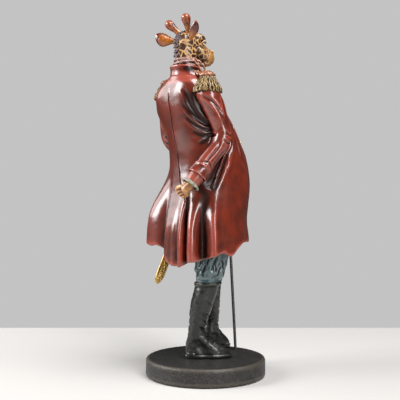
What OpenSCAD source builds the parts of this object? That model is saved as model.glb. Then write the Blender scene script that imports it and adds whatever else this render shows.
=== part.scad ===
// Giraffe officer statue: a cast, hand-painted figure on a round base, of castings glued over rods and pegs.
// Frame: millimetres, +Z up, origin at the centre of the underside. The figure faces -Y, so its right is -X.

/* [Base] */
// Diameter of the round base
base_d = 130; // [128:1:140]
// Thickness of the base casting, without the felt
base_h = 18.5; // [16:0.5:20]
// Thickness of the felt pad under the base
felt_h = 1; // [0.8:0.1:1.5]
// Diameter of the felt pad
felt_d = 124; // [110:1:125]

/* [Coat] */
// Wall thickness of the skirt
skirt_wall = 3.2; // [2.6:0.1:3.6]
// Share of the full depth of the skirt's folds
fold_depth = 1; // [0.4:0.1:1.1]
// Height of the inside of the skirt above the table
skirt_top = 190; // [186:1:194]
// Buttons in each of the two rows
button_count = 6; // [4:1:7]
// Diameter of a button
button_d = 4.4; // [3.4:0.1:5]

/* [Limbs] */
// Diameter of the steel rods in the legs
rod_d = 3; // [2.5:0.1:3.5]
// Diameter of the peg in the neck
peg_d = 5; // [4:0.1:6]
// Height of the boot tops above the table
boot_top = 102; // [99:1:105]

/* [Cane and sabre] */
// Diameter of the cane
cane_d = 3.2; // [2.6:0.1:3.6]
// Diameter of the ball on the cane
knob_d = 9; // [7:0.5:10]
// Width of the scabbard
scabbard_w = 8.6; // [7:0.1:9]
// Thickness of the scabbard
scabbard_t = 4.6; // [4:0.1:5]

/* [Hidden] */
$fn = 48;

COAT = "firebrick";
GOLD = "goldenrod";
BLACK = "dimgray";
HIDE = "burlywood";
STEEL = "silver";
CLOTH = "slategray";

RIGHT = -1;
LEFT = 1;
FULL = 360;
// Glue gap between neighbouring castings
GAP = 0.1;
base_top = felt_h + base_h;
// Mid-plane of the body, which stands a little to the left of the middle of the base
body_x = 3;
neck_z = 322;

// ---- Curves ----------------------------------------------------------------------------------------------

function unit(v) = v / norm(v);
function mix(a, b, t) = a + (b - a) * t;
function step_at(x, t, i = 0) = i >= len(t) - 2 || x < t[i + 1][0] ? i : step_at(x, t, i + 1);
// Value at x of a smooth curve through a table of [x, value] rows in rising order
function curve(x, t) =
    let (i = step_at(x, t), last = len(t) - 1)
    let (u = min(1, max(0, (x - t[i][0]) / (t[i + 1][0] - t[i][0]))))
    let (a = t[max(i - 1, 0)][1], b = t[i][1], c = t[i + 1][1], d = t[min(i + 2, last)][1])
    b + u * (c - a + u * (2 * a - 5 * b + 4 * c - d + u * (3 * (b - c) + d - a))) / 2;
// The same for rows that hold several values after x
function curves(x, t) = [for (k = [1:len(t[0]) - 1]) curve(x, [for (r = t) [r[0], r[k]]])];
// Shortest turn from angle a to angle b
function turn(a, b) = let (d = (b - a) % FULL) d > 180 ? d - FULL : d < -180 ? d + FULL : d;
// A rounded bump of height 1 at x = 0, gone beyond twice its width w
function bump(x, w) = exp(-x * x / (w * w));
function smooth01(x) = let (u = min(1, max(0, x))) u * u * (3 - 2 * u);
function total(list) = list * [for (v = list) 1];

// ---- Surfaces --------------------------------------------------------------------------------------------

// Closed skin over a stack of rings with equal counts, each end closed by a fan
module skin(rings) {
    n = len(rings[0]);
    m = len(rings);
    function middle(r) = [for (k = [0:2]) total([for (p = r) p[k]]) / n];
    points = [each [for (r = rings) each r], middle(rings[0]), middle(rings[m - 1])];
    sides = [for (i = [0:m - 2], j = [0:n - 1]) let (k = (j + 1) % n)
        each [[i * n + j, (i + 1) * n + j, (i + 1) * n + k], [i * n + j, (i + 1) * n + k, i * n + k]]];
    ends = [for (j = [0:n - 1]) let (k = (j + 1) % n)
        each [[j, k, m * n], [(m - 1) * n + k, (m - 1) * n + j, m * n + 1]]];
    polyhedron(points = points, faces = concat(sides, ends));
}

// Level oval ring with half-size a along a heading and b across it
function oval(p, heading, a, b, n) =
    [for (i = [0:n - 1]) let (t = FULL * i / n, c = a * cos(t), s = b * sin(t))
        [p[0] + c * cos(heading) - s * sin(heading), p[1] + c * sin(heading) + s * cos(heading), p[2]]];

// Round bar from a to b
module bar(a, b, d)
    aim(a, b)
        cylinder(h = norm(b - a), d = d);

// Puts children with their own +Z along the line from a to b
module aim(a, b) {
    v = b - a;
    translate(a)
        rotate([0, acos(v[2] / norm(v)), atan2(v[1], v[0])])
            children();
}

// String of balls [x, y, z, radius], each joined to the next
module string(balls, facets = 20)
    for (i = [0:len(balls) - 2])
        hull()
            for (b = [balls[i], balls[i + 1]])
                translate([b[0], b[1], b[2]])
                    sphere(r = b[3], $fn = facets);

// ---- Coat ------------------------------------------------------------------------------------------------

// Reach behind and before the middle of the base, and half-width, at heights above the table
BACK = [[120, 46], [145, 46], [160, 45], [184, 41], [206, 37], [238, 36], [264, 41.5], [296, 45], [312, 44.5],
    [322, 41]];
FRONT = [[120, 47], [146, 47], [173, 45], [184, 47], [206, 51], [238, 46], [255, 38.5], [275, 27], [296, 10],
    [312, -4], [322, -9]];
HALF = [[120, 49], [146, 48], [173, 47], [206, 44], [238, 40], [255, 36.5], [275, 33], [296, 30], [308, 30],
    [314, 27.5], [318, 24], [321, 19.5], [322, 17]];
// Height of the hem at angles from the back seam, positive towards the figure's right
HEM = [[-180, 178], [-174, 160], [-166, 146], [-150, 141], [-110, 138], [-70, 140], [-38, 142], [-25, 143.5],
    [-11, 128.5], [0, 123], [20, 126], [32, 130], [48, 132], [66, 137], [84, 131.5], [106, 142], [136, 145],
    [166, 148], [174, 160], [180, 178]];
// Folds of the skirt: angle from the back seam, height, width in degrees, and height where the fold dies out
FOLDS = [[-40, 15, 16, 215], [-25, -3.5, 5, 190], [-12.5, -3, 4.5, 195], [0, -7, 6, 200], [20, 2.5, 11, 205],
    [47, -6, 9, 200], [63, 4.5, 6, 200], [98, 2, 14, 190], [-75, -4, 9, 200], [-100, 4, 11, 205],
    [-126, -3, 9, 195]];
ROUND = 2.15;

function fold(a, z) =
    fold_depth * total([for (f = FOLDS) f[1] * bump(turn(f[0], a), f[2]) * smooth01((f[3] - z) / 60)]);
// Point of the coat's outside at an angle and height, moved outwards by grow
function coat_point(a, z, grow = 0) =
    let (back = curve(z, BACK), front = curve(z, FRONT), depth = (back + front) / 2, side = curve(z, HALF))
    let (plain = pow(pow(abs(cos(a)) / depth, ROUND) + pow(abs(sin(a)) / side, ROUND), -1 / ROUND))
    let (r = plain + fold(a, z) + grow)
    [body_x - r * sin(a), (back - front) / 2 + r * cos(a), z];
COAT_POINTS = 90;
TORSO_STEPS = 13;
coat_angles = [for (i = [0:COAT_POINTS - 1]) FULL * i / COAT_POINTS];
function coat_ring(z, grow = 0) = [for (a = coat_angles) coat_point(a, z, grow)];
// Ring that follows the hem at share 0 and lies level, at the inside's height, at share 1
function skirt_ring(share, grow = 0) =
    [for (a = coat_angles) coat_point(a, mix(curve(turn(0, a), HEM), skirt_top, share), grow)];
function coat_rings(grow = 0) =
    [each [for (s = [0:0.2:1]) skirt_ring(s, grow)],
    each [for (i = [1:TORSO_STEPS]) coat_ring(mix(skirt_top, neck_z, i / TORSO_STEPS), grow)]];

// The coat's form without its hollow, for fitting what lies on it
module coat_form() skin(coat_rings(GAP));

module coat_body()
    color(COAT)
    difference() {
        skin([each [for (s = [1:-0.25:0]) skirt_ring(s, -skirt_wall)], each coat_rings()]);
        bar(neck_low, neck_high, peg_d + 2 * GAP);
        for (side = [RIGHT, LEFT])
            bar(leg_at(side, rod_low), leg_at(side, rod_high + GAP), rod_d + 2 * GAP);
    }

collar_at = [body_x, 25, neck_z + GAP];
collar_h = 10.5;
collar_r = 15.5;
collar_wall = 2.2;
module coat_collar()
    color(COAT)
    translate(collar_at)
        difference() {
            cylinder(h = collar_h, r1 = collar_r, r2 = collar_r + 0.8);
            translate([0, 0, -1])
                cylinder(h = collar_h + 2, r = collar_r - collar_wall);
        }

module coat_buttons()
    color(GOLD)
    for (side = [RIGHT, LEFT], i = [0:button_count - 1]) {
        z = mix(206, 284, i / (button_count - 1));
        a = 180 + side * mix(26, 34, i / (button_count - 1));
        p = coat_point(a, z, 0.15);
        aim(p, coat_point(a, z - 1.5, 5))
            cylinder(h = 1.6, d1 = button_d, d2 = button_d - 1.4, $fn = 24);
    }

// ---- Neck ------------------------------------------------------------------------------------------------

neck_low = [body_x, 25, neck_z - 14];
neck_high = [body_x, 25, neck_z + 32];
cloth_top = 341;
module neckcloth()
    color("rosybrown")
    difference() {
        translate([body_x, 25, neck_z + GAP])
            cylinder(h = cloth_top - neck_z - GAP, r1 = collar_r - collar_wall - GAP, r2 = 11.5);
        bar(neck_low, neck_high, peg_d + 2 * GAP);
    }

module neck_peg()
    color(STEEL)
    bar(neck_low + [0, 0, GAP], neck_high - [0, 0, GAP], peg_d);

// ---- Legs ------------------------------------------------------------------------------------------------

ankle_z = 51;
rod_low = 6;
rod_high = 212;
// Middle of a leg at a height: each leg is a straight line through its ankle
function ankle(side) = side == RIGHT ? [-1, 13, ankle_z] : [24, -28, ankle_z];
function lean(side) = side == RIGHT ? [-0.17, -0.18, 1] : [-0.08, 0.14, 1];
function leg_at(side, z) = ankle(side) + lean(side) * (z - ankle_z);
// Heading of the toes
function toe_heading(side) = side == RIGHT ? -123 : -83;
// Share of the full length of the foot before the ankle
function foot_share(side) = side == RIGHT ? 1 : 0.78;

// Sections of a boot: height, shift of the middle towards the toes, half-length, half-width
BOOT = [[19.6, 12.6, 24.6, 8.6], [22.5, 12.8, 25, 9.2], [27, 11.6, 23.8, 9], [32, 8.6, 20.4, 8.4],
    [37, 5, 16.4, 8], [43, 1.8, 11.8, 7.8], [51, 0, 9.2, 8], [60, -0.4, 10, 8.8],
    [74, -1, 11.8, 10.8], [88, -0.4, 12.8, 12.2], [97, 0, 13.2, 12.8], [101, 0, 13.4, 13]];
BOOT_STEPS = 20;
function boot_ring(side, z) =
    let (s = curves(z, BOOT), heel = s[0] - s[1], toe = (s[0] + s[1]) * (z < ankle_z ? foot_share(side) : 1))
    let (p = leg_at(side, max(z, ankle_z)), h = toe_heading(side), mid = (heel + toe) / 2)
    oval([p[0] + mid * cos(h), p[1] + mid * sin(h), z], h, (toe - heel) / 2, s[2], 28);

module boot(side)
    color(BLACK)
    difference() {
        skin([for (i = [0:BOOT_STEPS]) boot_ring(side, mix(base_top + GAP, boot_top, i / BOOT_STEPS))]);
        bar(leg_at(side, rod_low), leg_at(side, rod_high), rod_d + 2 * GAP);
    }
module boot_right() boot(RIGHT);
module boot_left() boot(LEFT);

// Sections of a breeches leg: height, half-length, half-width
BREECHES = [[102, 12.5, 12], [106, 14.8, 14], [111, 16, 15.2], [118, 15.6, 14.8],
    [132, 15, 14.4], [160, 15.5, 14.6], [190, 15.5, 14.6]];
BREECHES_STEPS = 12;
module breeches(side)
    color(CLOTH)
    difference() {
        skin([for (i = [0:BREECHES_STEPS])
            let (z = mix(boot_top + GAP, skirt_top - GAP, i / BREECHES_STEPS), s = curves(z, BREECHES))
            oval(leg_at(side, z), -90, s[0], s[1], 28)]);
        bar(leg_at(side, rod_low), leg_at(side, rod_high), rod_d + 2 * GAP);
    }
module breeches_right() breeches(RIGHT);
module breeches_left() breeches(LEFT);

module leg_rod(side)
    color(STEEL)
    bar(leg_at(side, rod_low + GAP), leg_at(side, rod_high - GAP), rod_d);
module leg_rod_right() leg_rod(RIGHT);
module leg_rod_left() leg_rod(LEFT);

// ---- Arms ------------------------------------------------------------------------------------------------

function shoulder(side) = [body_x + side * 35, 23, 303];
function elbow(side) = side == RIGHT ? [-42, 10, 253] : [43, 17, 257];
function wrist(side) = side == RIGHT ? [-33, 40, 212] : [49, -34, 232];
function forearm(side) = unit(wrist(side) - elbow(side));
CUFF_H = 12;
function cuff_low(side) = wrist(side) - forearm(side) * CUFF_H;

// Sleeve balls: share of the way from shoulder to elbow to cuff, and radius
SLEEVE = [[0, 12], [0.25, 11.2], [0.5, 10], [0.75, 9.4], [0.95, 9.6], [1.1, 9.4], [1.3, 8.8], [1.55, 8.6]];
function sleeve_point(side, q) =
    q < 1 ? mix(shoulder(side), elbow(side), q) + [side * 2, -1, 0] * sin(180 * q)
    : mix(elbow(side), cuff_low(side), q - 1);

module sleeve(side)
    color(COAT)
    difference() {
        union() {
            string([for (s = SLEEVE) [each sleeve_point(side, s[0]), s[1]]]);
            hull() {
                translate(sleeve_point(side, 1.55))
                    sphere(r = 8.6, $fn = 20);
                aim(cuff_low(side) - forearm(side) * (1 + GAP), wrist(side))
                    cylinder(h = 1, r = 8.8, $fn = 24);
            }
        }
        coat_form();
    }
module sleeve_right() sleeve(RIGHT);
module sleeve_left() sleeve(LEFT);

// Ring or plug round the forearm's line, from low to high past the cuff's upper edge
module on_forearm(side, low, high, r1, r2)
    aim(cuff_low(side) + forearm(side) * (low + GAP), wrist(side))
        cylinder(h = high - low - GAP, r1 = r1, r2 = r2);

WRISTLET_H = 5;
FRILL_H = 3.5;
module cuff(side)
    color(COAT)
    on_forearm(side, 0, CUFF_H, 9.6, 10.6);
module cuff_right() cuff(RIGHT);
module cuff_left() cuff(LEFT);

module wristlet(side)
    color("indianred")
    on_forearm(side, CUFF_H, CUFF_H + WRISTLET_H, 7.4, 7);
module wristlet_right() wristlet(RIGHT);
module wristlet_left() wristlet(LEFT);

module frill(side)
    color("honeydew")
    on_forearm(side, CUFF_H + WRISTLET_H, CUFF_H + WRISTLET_H + FRILL_H, 7.6, 9.6);
module frill_right() frill(RIGHT);
module frill_left() frill(LEFT);

function palm_start(side) = wrist(side) + forearm(side) * (WRISTLET_H + FRILL_H + GAP);

// Flat disc where a hand meets its frill
module hand_root(side)
    aim(palm_start(side), palm_start(side) + forearm(side))
        cylinder(h = 0.8, r = 5, $fn = 24);

// The right hand rests behind the back, with its fingers towards the seam
module hand_right() {
    palm = [-26, 48, 201];
    color(HIDE) {
        hull() {
            hand_root(RIGHT);
            translate(palm)
                sphere(r = 5.4, $fn = 20);
        }
        for (i = [0:3]) {
            knuckle = palm + [3.5, 2.5 - i * 2.2, 3 - i * 2.6];
            string([
                [each palm, 4.4],
                [each knuckle, 2.5],
                [each knuckle + [6, 0.5, -1.5], 2.3],
                [each knuckle + [10, -1.5, -3.5], 1.9]], 14);
        }
        string([[each palm, 4], [each palm + [0, -3, 6], 2.6], [each palm + [5, -3, 7.5], 2.1]], 14);
    }
}

// The left hand closes round the top of the cane
module hand_left() {
    grip = mix(cane_foot, cane_top, 0.965);
    palm = grip + [7, 3, 0.5];
    color(HIDE)
        difference() {
            union() {
                hull() {
                    hand_root(LEFT);
                    translate(palm)
                        sphere(r = 5.4, $fn = 20);
                }
                for (i = [0:3]) {
                    row = [0, 0, 4.6 - i * 3.4];
                    string([
                        [each palm + row * 0.7, 3.6],
                        [each grip + row + [4.5, -4, 0], 2.4],
                        [each grip + row + [-2, -4.5, 0], 2.2],
                        [each grip + row + [-4, 0, 0], 2]], 14);
                }
                string([[each palm, 4], [each grip + [2, 4, 4], 2.8], [each grip + [-3, 2, 5], 2.3]], 14);
            }
            bar(cane_foot, cane_top, cane_d + 2 * GAP);
            translate(cane_top)
                sphere(d = knob_d + 2 * GAP);
            coat_form();
        }
}

// ---- Epaulettes ------------------------------------------------------------------------------------------

FRINGE_STRANDS = 26;
FRINGE_H = 16;
fringe_low = 300;
fringe_in = 14.7;
fringe_out = 17.2;
fringe_arc = 112;
fringe_taper = 0.64;
board_r = 9.6;
board_h = 2.6;
module epaulette_board(side)
    color(GOLD)
    translate([body_x + side * 37, 23, fringe_low + FRINGE_H + GAP])
        cylinder(h = board_h, r1 = board_r, r2 = board_r - 1.4);
module epaulette_board_right() epaulette_board(RIGHT);
module epaulette_board_left() epaulette_board(LEFT);

// Direction at a share of the way round the fringe
function spoke(share) = let (a = mix(-fringe_arc, fringe_arc, share)) [cos(a), sin(a)];
// Bullion fringe: a flared band of round strands, open towards the neck
module epaulette_fringe(side)
    color(GOLD)
    translate([body_x + side * 35, 23, fringe_low])
        rotate([0, 0, side == RIGHT ? 180 : 0])
            linear_extrude(height = FRINGE_H, scale = fringe_taper)
                polygon(concat(
                    [for (i = [0:FRINGE_STRANDS * 4])
                        (fringe_out + 0.5 * sin(90 * i)) * spoke(i / FRINGE_STRANDS / 4)],
                    [for (i = [FRINGE_STRANDS:-1:0])
                        fringe_in * spoke(i / FRINGE_STRANDS)]));
module epaulette_fringe_right() epaulette_fringe(RIGHT);
module epaulette_fringe_left() epaulette_fringe(LEFT);

// Strap from the board up the shoulder to the collar
module epaulette_strap(side)
    color(GOLD)
    hull()
        for (end = [[26.6, fringe_low + FRINGE_H + 3.8, 10], [18, neck_z + 1.4, 7]])
            translate([body_x + side * end[0], 23, end[1]])
                cube([0.8, end[2], 1.6], center = true);
module epaulette_strap_right() epaulette_strap(RIGHT);
module epaulette_strap_left() epaulette_strap(LEFT);

// ---- Head ------------------------------------------------------------------------------------------------

skull = [body_x, 25, 358];
// Balls of the head from the skull to the lips
FACE = [[0, 0, 0, 12.5], [0, -10, 1.5, 11], [0, -19, -2.5, 9], [0, -27, -8, 8.2], [0, -33.5, -13, 7.4]];

module head_form(grow = 0) {
    hull() {
        translate([body_x, 25, cloth_top + GAP])
            cylinder(h = 2, r = 10.5 + grow, $fn = 32);
        translate(skull)
            sphere(r = 12.5 + grow, $fn = 28);
    }
    string([for (f = FACE) [skull[0] + f[0], skull[1] + f[1], skull[2] + f[2], f[3] + grow]], 28);
    for (side = [RIGHT, LEFT]) {
        // Brow over each eye
        string([[body_x + side * 6, 15, 364, 4 + grow], [body_x + side * 8.5, 8, 360.5, 3.4 + grow]], 16);
        // Cheek and nostril
        string([[body_x + side * 5, 8, 352, 6 + grow], [body_x + side * 4.5, -5, 346, 4.5 + grow]], 16);
    }
}
function eye_at(side) = [body_x + side * 9.6, 5.5, 357.4];
eye_d = 4.6;

module head()
    color(HIDE)
    difference() {
        head_form();
        for (side = [RIGHT, LEFT])
            translate(eye_at(side))
                sphere(d = eye_d + 2 * GAP, $fn = 24);
        bar(neck_low, neck_high, peg_d + 4 * GAP);
    }

module eye(side)
    color("black")
    translate(eye_at(side))
        sphere(d = eye_d, $fn = 24);
module eye_right() eye(RIGHT);
module eye_left() eye(LEFT);

module mane()
    color("saddlebrown")
    difference() {
        string([for (i = [0:8])
            let (t = i / 8)
            [body_x, 25 + 14.2 * sin(mix(20, 100, t)), mix(358 + 13 * cos(20), 349, t), 2.6]], 14);
        head_form(GAP);
    }

// Ears: base, tip and the greatest half-width
function ear_base(side) = side == RIGHT ? [-8, 27, 360] : [16, 32, 361.5];
function ear_tip(side) = side == RIGHT ? [-22, 30, 377] : [31, 45, 369];
EAR = [[0, 2.4], [0.15, 2.6], [0.3, 3.2], [0.45, 3.9], [0.6, 4], [0.75, 3.3], [0.9, 1.9], [1, 0.9]];
module ear(side)
    color("sandybrown")
    difference() {
        for (i = [0:len(EAR) - 2])
            hull()
                for (e = [EAR[i], EAR[i + 1]])
                    translate(mix(ear_base(side), ear_tip(side), e[0]))
                        rotate([0, side * 30, side * 40])
                            scale([0.5, 1, 1])
                                sphere(r = e[1], $fn = 14);
        hull()
            for (t = [0.4, 0.8])
                translate(mix(ear_base(side), ear_tip(side), t) - [0, 2.6, 0])
                    sphere(r = 1.6, $fn = 14);
        head_form(GAP);
    }
module ear_right() ear(RIGHT);
module ear_left() ear(LEFT);

// Ossicones: a stalk that swells into a club
function horn_base(side) = side == RIGHT ? [-2.5, 24, 366] : [8.5, 24, 366];
function horn_tip(side) = side == RIGHT ? [-7, 32.5, 383.4] : [20, 35, 380.5];
HORN = [[0, 3], [0.3, 2.7], [0.55, 3.1], [0.8, 4.3], [1, 4.6]];
module ossicone(side)
    color("chocolate")
    difference() {
        string([for (h = HORN) [each mix(horn_base(side), horn_tip(side), h[0]), h[1]]], 18);
        head_form(GAP);
    }
module ossicone_right() ossicone(RIGHT);
module ossicone_left() ossicone(LEFT);

// ---- Base ------------------------------------------------------------------------------------------------

edge_r = 1.8;
module base_disc()
    color(BLACK)
    difference() {
        translate([0, 0, felt_h])
            rotate_extrude($fn = 96)
                offset_profile(base_d / 2, base_h, edge_r);
        for (side = [RIGHT, LEFT])
            bar(leg_at(side, rod_low), leg_at(side, rod_high), rod_d + 2 * GAP);
        bar(cane_foot, cane_top, cane_d + 2 * GAP);
    }
// Half-section of a disc with its upper edge rounded
module offset_profile(r, h, edge)
    union() {
        square([r - edge, h]);
        square([r, h - edge]);
        translate([r - edge, h - edge])
            circle(r = edge, $fn = 32);
    }

module base_felt()
    color("black")
    cylinder(h = felt_h - GAP / 2, d = felt_d, $fn = 96);

// ---- Cane and sabre --------------------------------------------------------------------------------------

cane_foot = [5, -48, 11];
cane_top = [27, -53, 214];
module cane_shaft()
    color(BLACK)
    bar(cane_foot + [0, 0, GAP], cane_top, cane_d);

module cane_knob()
    color(GOLD)
    difference() {
        translate(cane_top)
            sphere(d = knob_d);
        bar(mix(cane_foot, cane_top, 0.9), cane_top, cane_d + 2 * GAP);
    }

// The scabbard hangs at the left hip and leans back; its end shows below the hem
scabbard_tip = [37, 38.5, 99];
scabbard_end = [37.5, -6.4, 189.5];
chape_share = 0.4;
// Oval bar along the scabbard between two shares of its length
module scabbard_bar(t1, t2, w, t)
    hull()
        for (s = [-1, 1])
            translate([0, s * (w - t) / 2, 0])
                bar(mix(scabbard_tip, scabbard_end, t1), mix(scabbard_tip, scabbard_end, t2), t, $fn = 24);
module scabbard()
    color(BLACK)
    scabbard_bar(chape_share, 0.985, scabbard_w - 1.6, scabbard_t - 1);

module scabbard_chape()
    color(GOLD) {
        hull() {
            scabbard_bar(0.05, chape_share - 0.002, scabbard_w, scabbard_t);
            translate(scabbard_tip)
                sphere(r = 1.6, $fn = 16);
        }
        for (t = [0.09:0.09:0.38])
            scabbard_bar(t, t + 0.02, scabbard_w + 1, scabbard_t + 0.8);
    }

// The hilt lies on the outside of the coat, above the hidden mouth of the scabbard
module sabre_hilt() {
    low = [50.5, -14, 201];
    high = [52.5, -22, 221];
    color(GOLD)
        difference() {
            union() {
                string([[each low, 2.6], [each mix(low, high, 0.5), 3], [each high, 2.4]], 16);
                string([for (i = [0:7])
                    let (t = 180 * i / 7)
                    [each mix(low, high, (1 - cos(t)) / 2) + [3, -7, -2] * sin(t), 1.2]], 12);
                hull()
                    for (s = [-4, 4])
                        translate(low + [0, s, s / 2])
                            sphere(r = 2, $fn = 16);
            }
            coat_form();
        }
}

base_disc();
base_felt();
leg_rod_right();
leg_rod_left();
boot_right();
boot_left();
breeches_right();
breeches_left();
coat_body();
coat_collar();
coat_buttons();
neckcloth();
neck_peg();
sleeve_right();
sleeve_left();
cuff_right();
cuff_left();
wristlet_right();
wristlet_left();
frill_right();
frill_left();
hand_right();
hand_left();
epaulette_board_right();
epaulette_board_left();
epaulette_fringe_right();
epaulette_fringe_left();
epaulette_strap_right();
epaulette_strap_left();
head();
mane();
ear_right();
ear_left();
ossicone_right();
ossicone_left();
eye_right();
eye_left();
cane_shaft();
cane_knob();
scabbard();
scabbard_chape();
sabre_hilt();
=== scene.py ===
import math

import bpy
import numpy as np
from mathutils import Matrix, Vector


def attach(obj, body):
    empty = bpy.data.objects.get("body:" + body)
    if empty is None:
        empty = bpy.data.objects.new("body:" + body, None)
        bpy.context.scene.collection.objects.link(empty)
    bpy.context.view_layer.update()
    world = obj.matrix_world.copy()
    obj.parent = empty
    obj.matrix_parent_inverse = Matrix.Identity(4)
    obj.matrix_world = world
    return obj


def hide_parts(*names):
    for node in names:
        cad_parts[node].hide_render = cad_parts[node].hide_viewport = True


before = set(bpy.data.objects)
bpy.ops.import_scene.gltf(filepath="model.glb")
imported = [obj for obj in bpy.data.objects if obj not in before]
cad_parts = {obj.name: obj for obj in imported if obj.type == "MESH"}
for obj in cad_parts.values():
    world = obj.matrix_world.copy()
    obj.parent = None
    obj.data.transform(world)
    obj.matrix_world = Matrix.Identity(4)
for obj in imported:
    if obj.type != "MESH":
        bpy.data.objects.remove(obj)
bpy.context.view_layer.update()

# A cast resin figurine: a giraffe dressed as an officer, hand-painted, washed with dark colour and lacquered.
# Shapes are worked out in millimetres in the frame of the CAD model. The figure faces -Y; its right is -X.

MM = 0.001
RIGHT, LEFT = -1, 1
NAMES = {RIGHT: "right", LEFT: "left"}
# The upright line that the body and the neck stand on
BODY_X, NECK_Y = 3.0, 25.0
SKULL = np.array([BODY_X, NECK_Y, 358.0])
# Heights of the base's top, of the level where the skirt hangs from the waist, and of the collar's foot
BASE_TOP, SKIRT_TOP, NECK_Z = 19.5, 190.0, 322.0


# ---- Numbers and curves ----------------------------------------------------------------------------------------

def vec(*values):
    return np.array(values, float)


def mix(a, b, t):
    return a + (b - a) * t


def unit(v):
    return v / np.maximum(np.linalg.norm(v, axis=-1, keepdims=True), 1e-9)


def smoothstep(x, low=0.0, high=1.0):
    t = np.clip((x - low) / (high - low), 0, 1)
    return t * t * (3 - 2 * t)


def bump(x, width):
    """A rounded rise, 1 at x = 0 and gone beyond twice its width."""
    return np.exp(-(x / width) ** 2)


def turn(a):
    """An angle in degrees brought between -180 and 180."""
    return (a + 180.0) % 360.0 - 180.0


def curve(x, rows):
    """Smooth curve through rows (x, value, ...), read at x."""
    table = np.array(rows, float)
    xs, ys = table[:, 0], table[:, 1:]
    x = np.clip(np.asarray(x, float), xs[0], xs[-1])
    slope = np.gradient(ys, xs, axis=0)
    i = np.clip(np.searchsorted(xs, x, side="right") - 1, 0, len(xs) - 2)
    h = (xs[i + 1] - xs[i])[..., None]
    t = (x - xs[i])[..., None] / h
    a, b, da, db = ys[i], ys[i + 1], slope[i] * h, slope[i + 1] * h
    value = a + t * (da + t * (3 * (b - a) - 2 * da - db + t * (2 * (a - b) + da + db)))
    return value[..., 0] if table.shape[1] == 2 else value


def smooth_path(points, count=24):
    """Evenly counted points along a smooth line through a few points."""
    points = np.array(points, float)
    if len(points) == 2:
        return mix(points[0], points[1], np.linspace(0, 1, count)[:, None])
    rows = np.column_stack([np.arange(len(points)), points])
    return curve(np.linspace(0, len(points) - 1, count), rows)


def wobble(points, scale, seed=0):
    """Soft unevenness between about -1 and 1, with swells of about the given size in mm."""
    rng = np.random.default_rng(seed)
    total = np.zeros(points.shape[:-1])
    for _ in range(7):
        way = unit(rng.normal(size=3)) * rng.uniform(0.6, 1.5) * 2 * math.pi / scale
        total += np.sin(points @ way + rng.uniform(0, 6.28))
    return total / 3.2


# ---- Forms: points and faces before they become pieces ------------------------------------------------------

class Form:
    """Points in mm, and faces of three or four corners; a triangle's last corner is -1."""

    def __init__(self, points, faces):
        self.points = np.asarray(points, float)
        self.faces = np.asarray(faces, int)

    def corners(self):
        return (*self.faces[:, :3].T, np.where(self.faces[:, 3] < 0, self.faces[:, 0], self.faces[:, 3]))

    def normals(self):
        p = self.points
        a, b, c, d = self.corners()
        way = np.where(self.faces[:, 3:] < 0, np.cross(p[b] - p[a], p[c] - p[a]), np.cross(p[c] - p[a], p[d] - p[b]))
        total = np.zeros_like(p)
        for corner in (a, b, c, d):
            for k in range(3):
                total[:, k] += np.bincount(corner, way[:, k], len(p))
        return unit(total)

    def relief(self, rounds):
        """How far each point stands below (+) or above (-) the smoothed surface, in mm."""
        a, b, c, d = self.corners()
        starts, ends = np.concatenate([a, b, c, d, b, c, d, a]), np.concatenate([b, c, d, a, a, b, c, d])
        real = starts != ends
        starts, ends = starts[real], ends[real]
        count = np.maximum(np.bincount(starts, minlength=len(self.points)), 1)
        soft = self.points.copy()
        for _ in range(rounds):
            soft = np.column_stack([np.bincount(starts, soft[ends, k], len(soft)) / count for k in range(3)])
        return np.einsum("ij,ij->i", soft - self.points, self.normals())


def join(*forms):
    points, faces, start = [], [], 0
    for form in forms:
        points.append(form.points)
        faces.append(np.where(form.faces < 0, -1, form.faces + start))
        start += len(form.points)
    return Form(np.vstack(points), np.vstack(faces))


def loft(rings):
    """Closed skin over a stack of rings with equal counts, anticlockwise seen from the last ring."""
    rings = np.asarray(rings, float)
    m, n = rings.shape[:2]
    i, j = np.meshgrid(np.arange(m - 1), np.arange(n), indexing="ij")
    k = (j + 1) % n
    quads = np.stack([i * n + j, i * n + k, (i + 1) * n + k, (i + 1) * n + j], -1).reshape(-1, 4)
    points, faces = [rings.reshape(-1, 3)], [quads]
    j = np.arange(n)
    k = (j + 1) % n
    for ring, (a, b) in ((0, (k, j)), (m - 1, (j, k))):
        middle = sum(len(p) for p in points)
        points.append(rings[ring].mean(0)[None])
        faces.append(np.stack([ring * n + a, ring * n + b, np.full(n, middle), np.full(n, -1)], -1))
    return Form(np.vstack(points), np.vstack(faces))


def rings_along(path, wide, thick, sides=20, up=(0.0, 0.0, 1.0), lobes=0, depth=0.0, twist=0.0):
    """Oval rings along a path; wide lies across up and thick along it. Lobes make a twisted strand."""
    path = np.asarray(path, float)
    way = unit(np.gradient(path, axis=0))
    across = unit(np.cross(np.asarray(up, float), way))
    over = np.cross(way, across)
    t = np.linspace(0, 2 * math.pi, sides, endpoint=False)
    along = np.concatenate([[0], np.cumsum(np.linalg.norm(np.diff(path, axis=0), axis=1))])
    swing = 1 + depth * np.cos(lobes * t - twist * along[:, None])
    wide, thick = np.broadcast_to(wide, len(path)), np.broadcast_to(thick, len(path))
    return (path[:, None] + across[:, None] * (wide[:, None] * swing * np.cos(t))[..., None]
            + over[:, None] * (thick[:, None] * swing * np.sin(t))[..., None])


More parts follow.
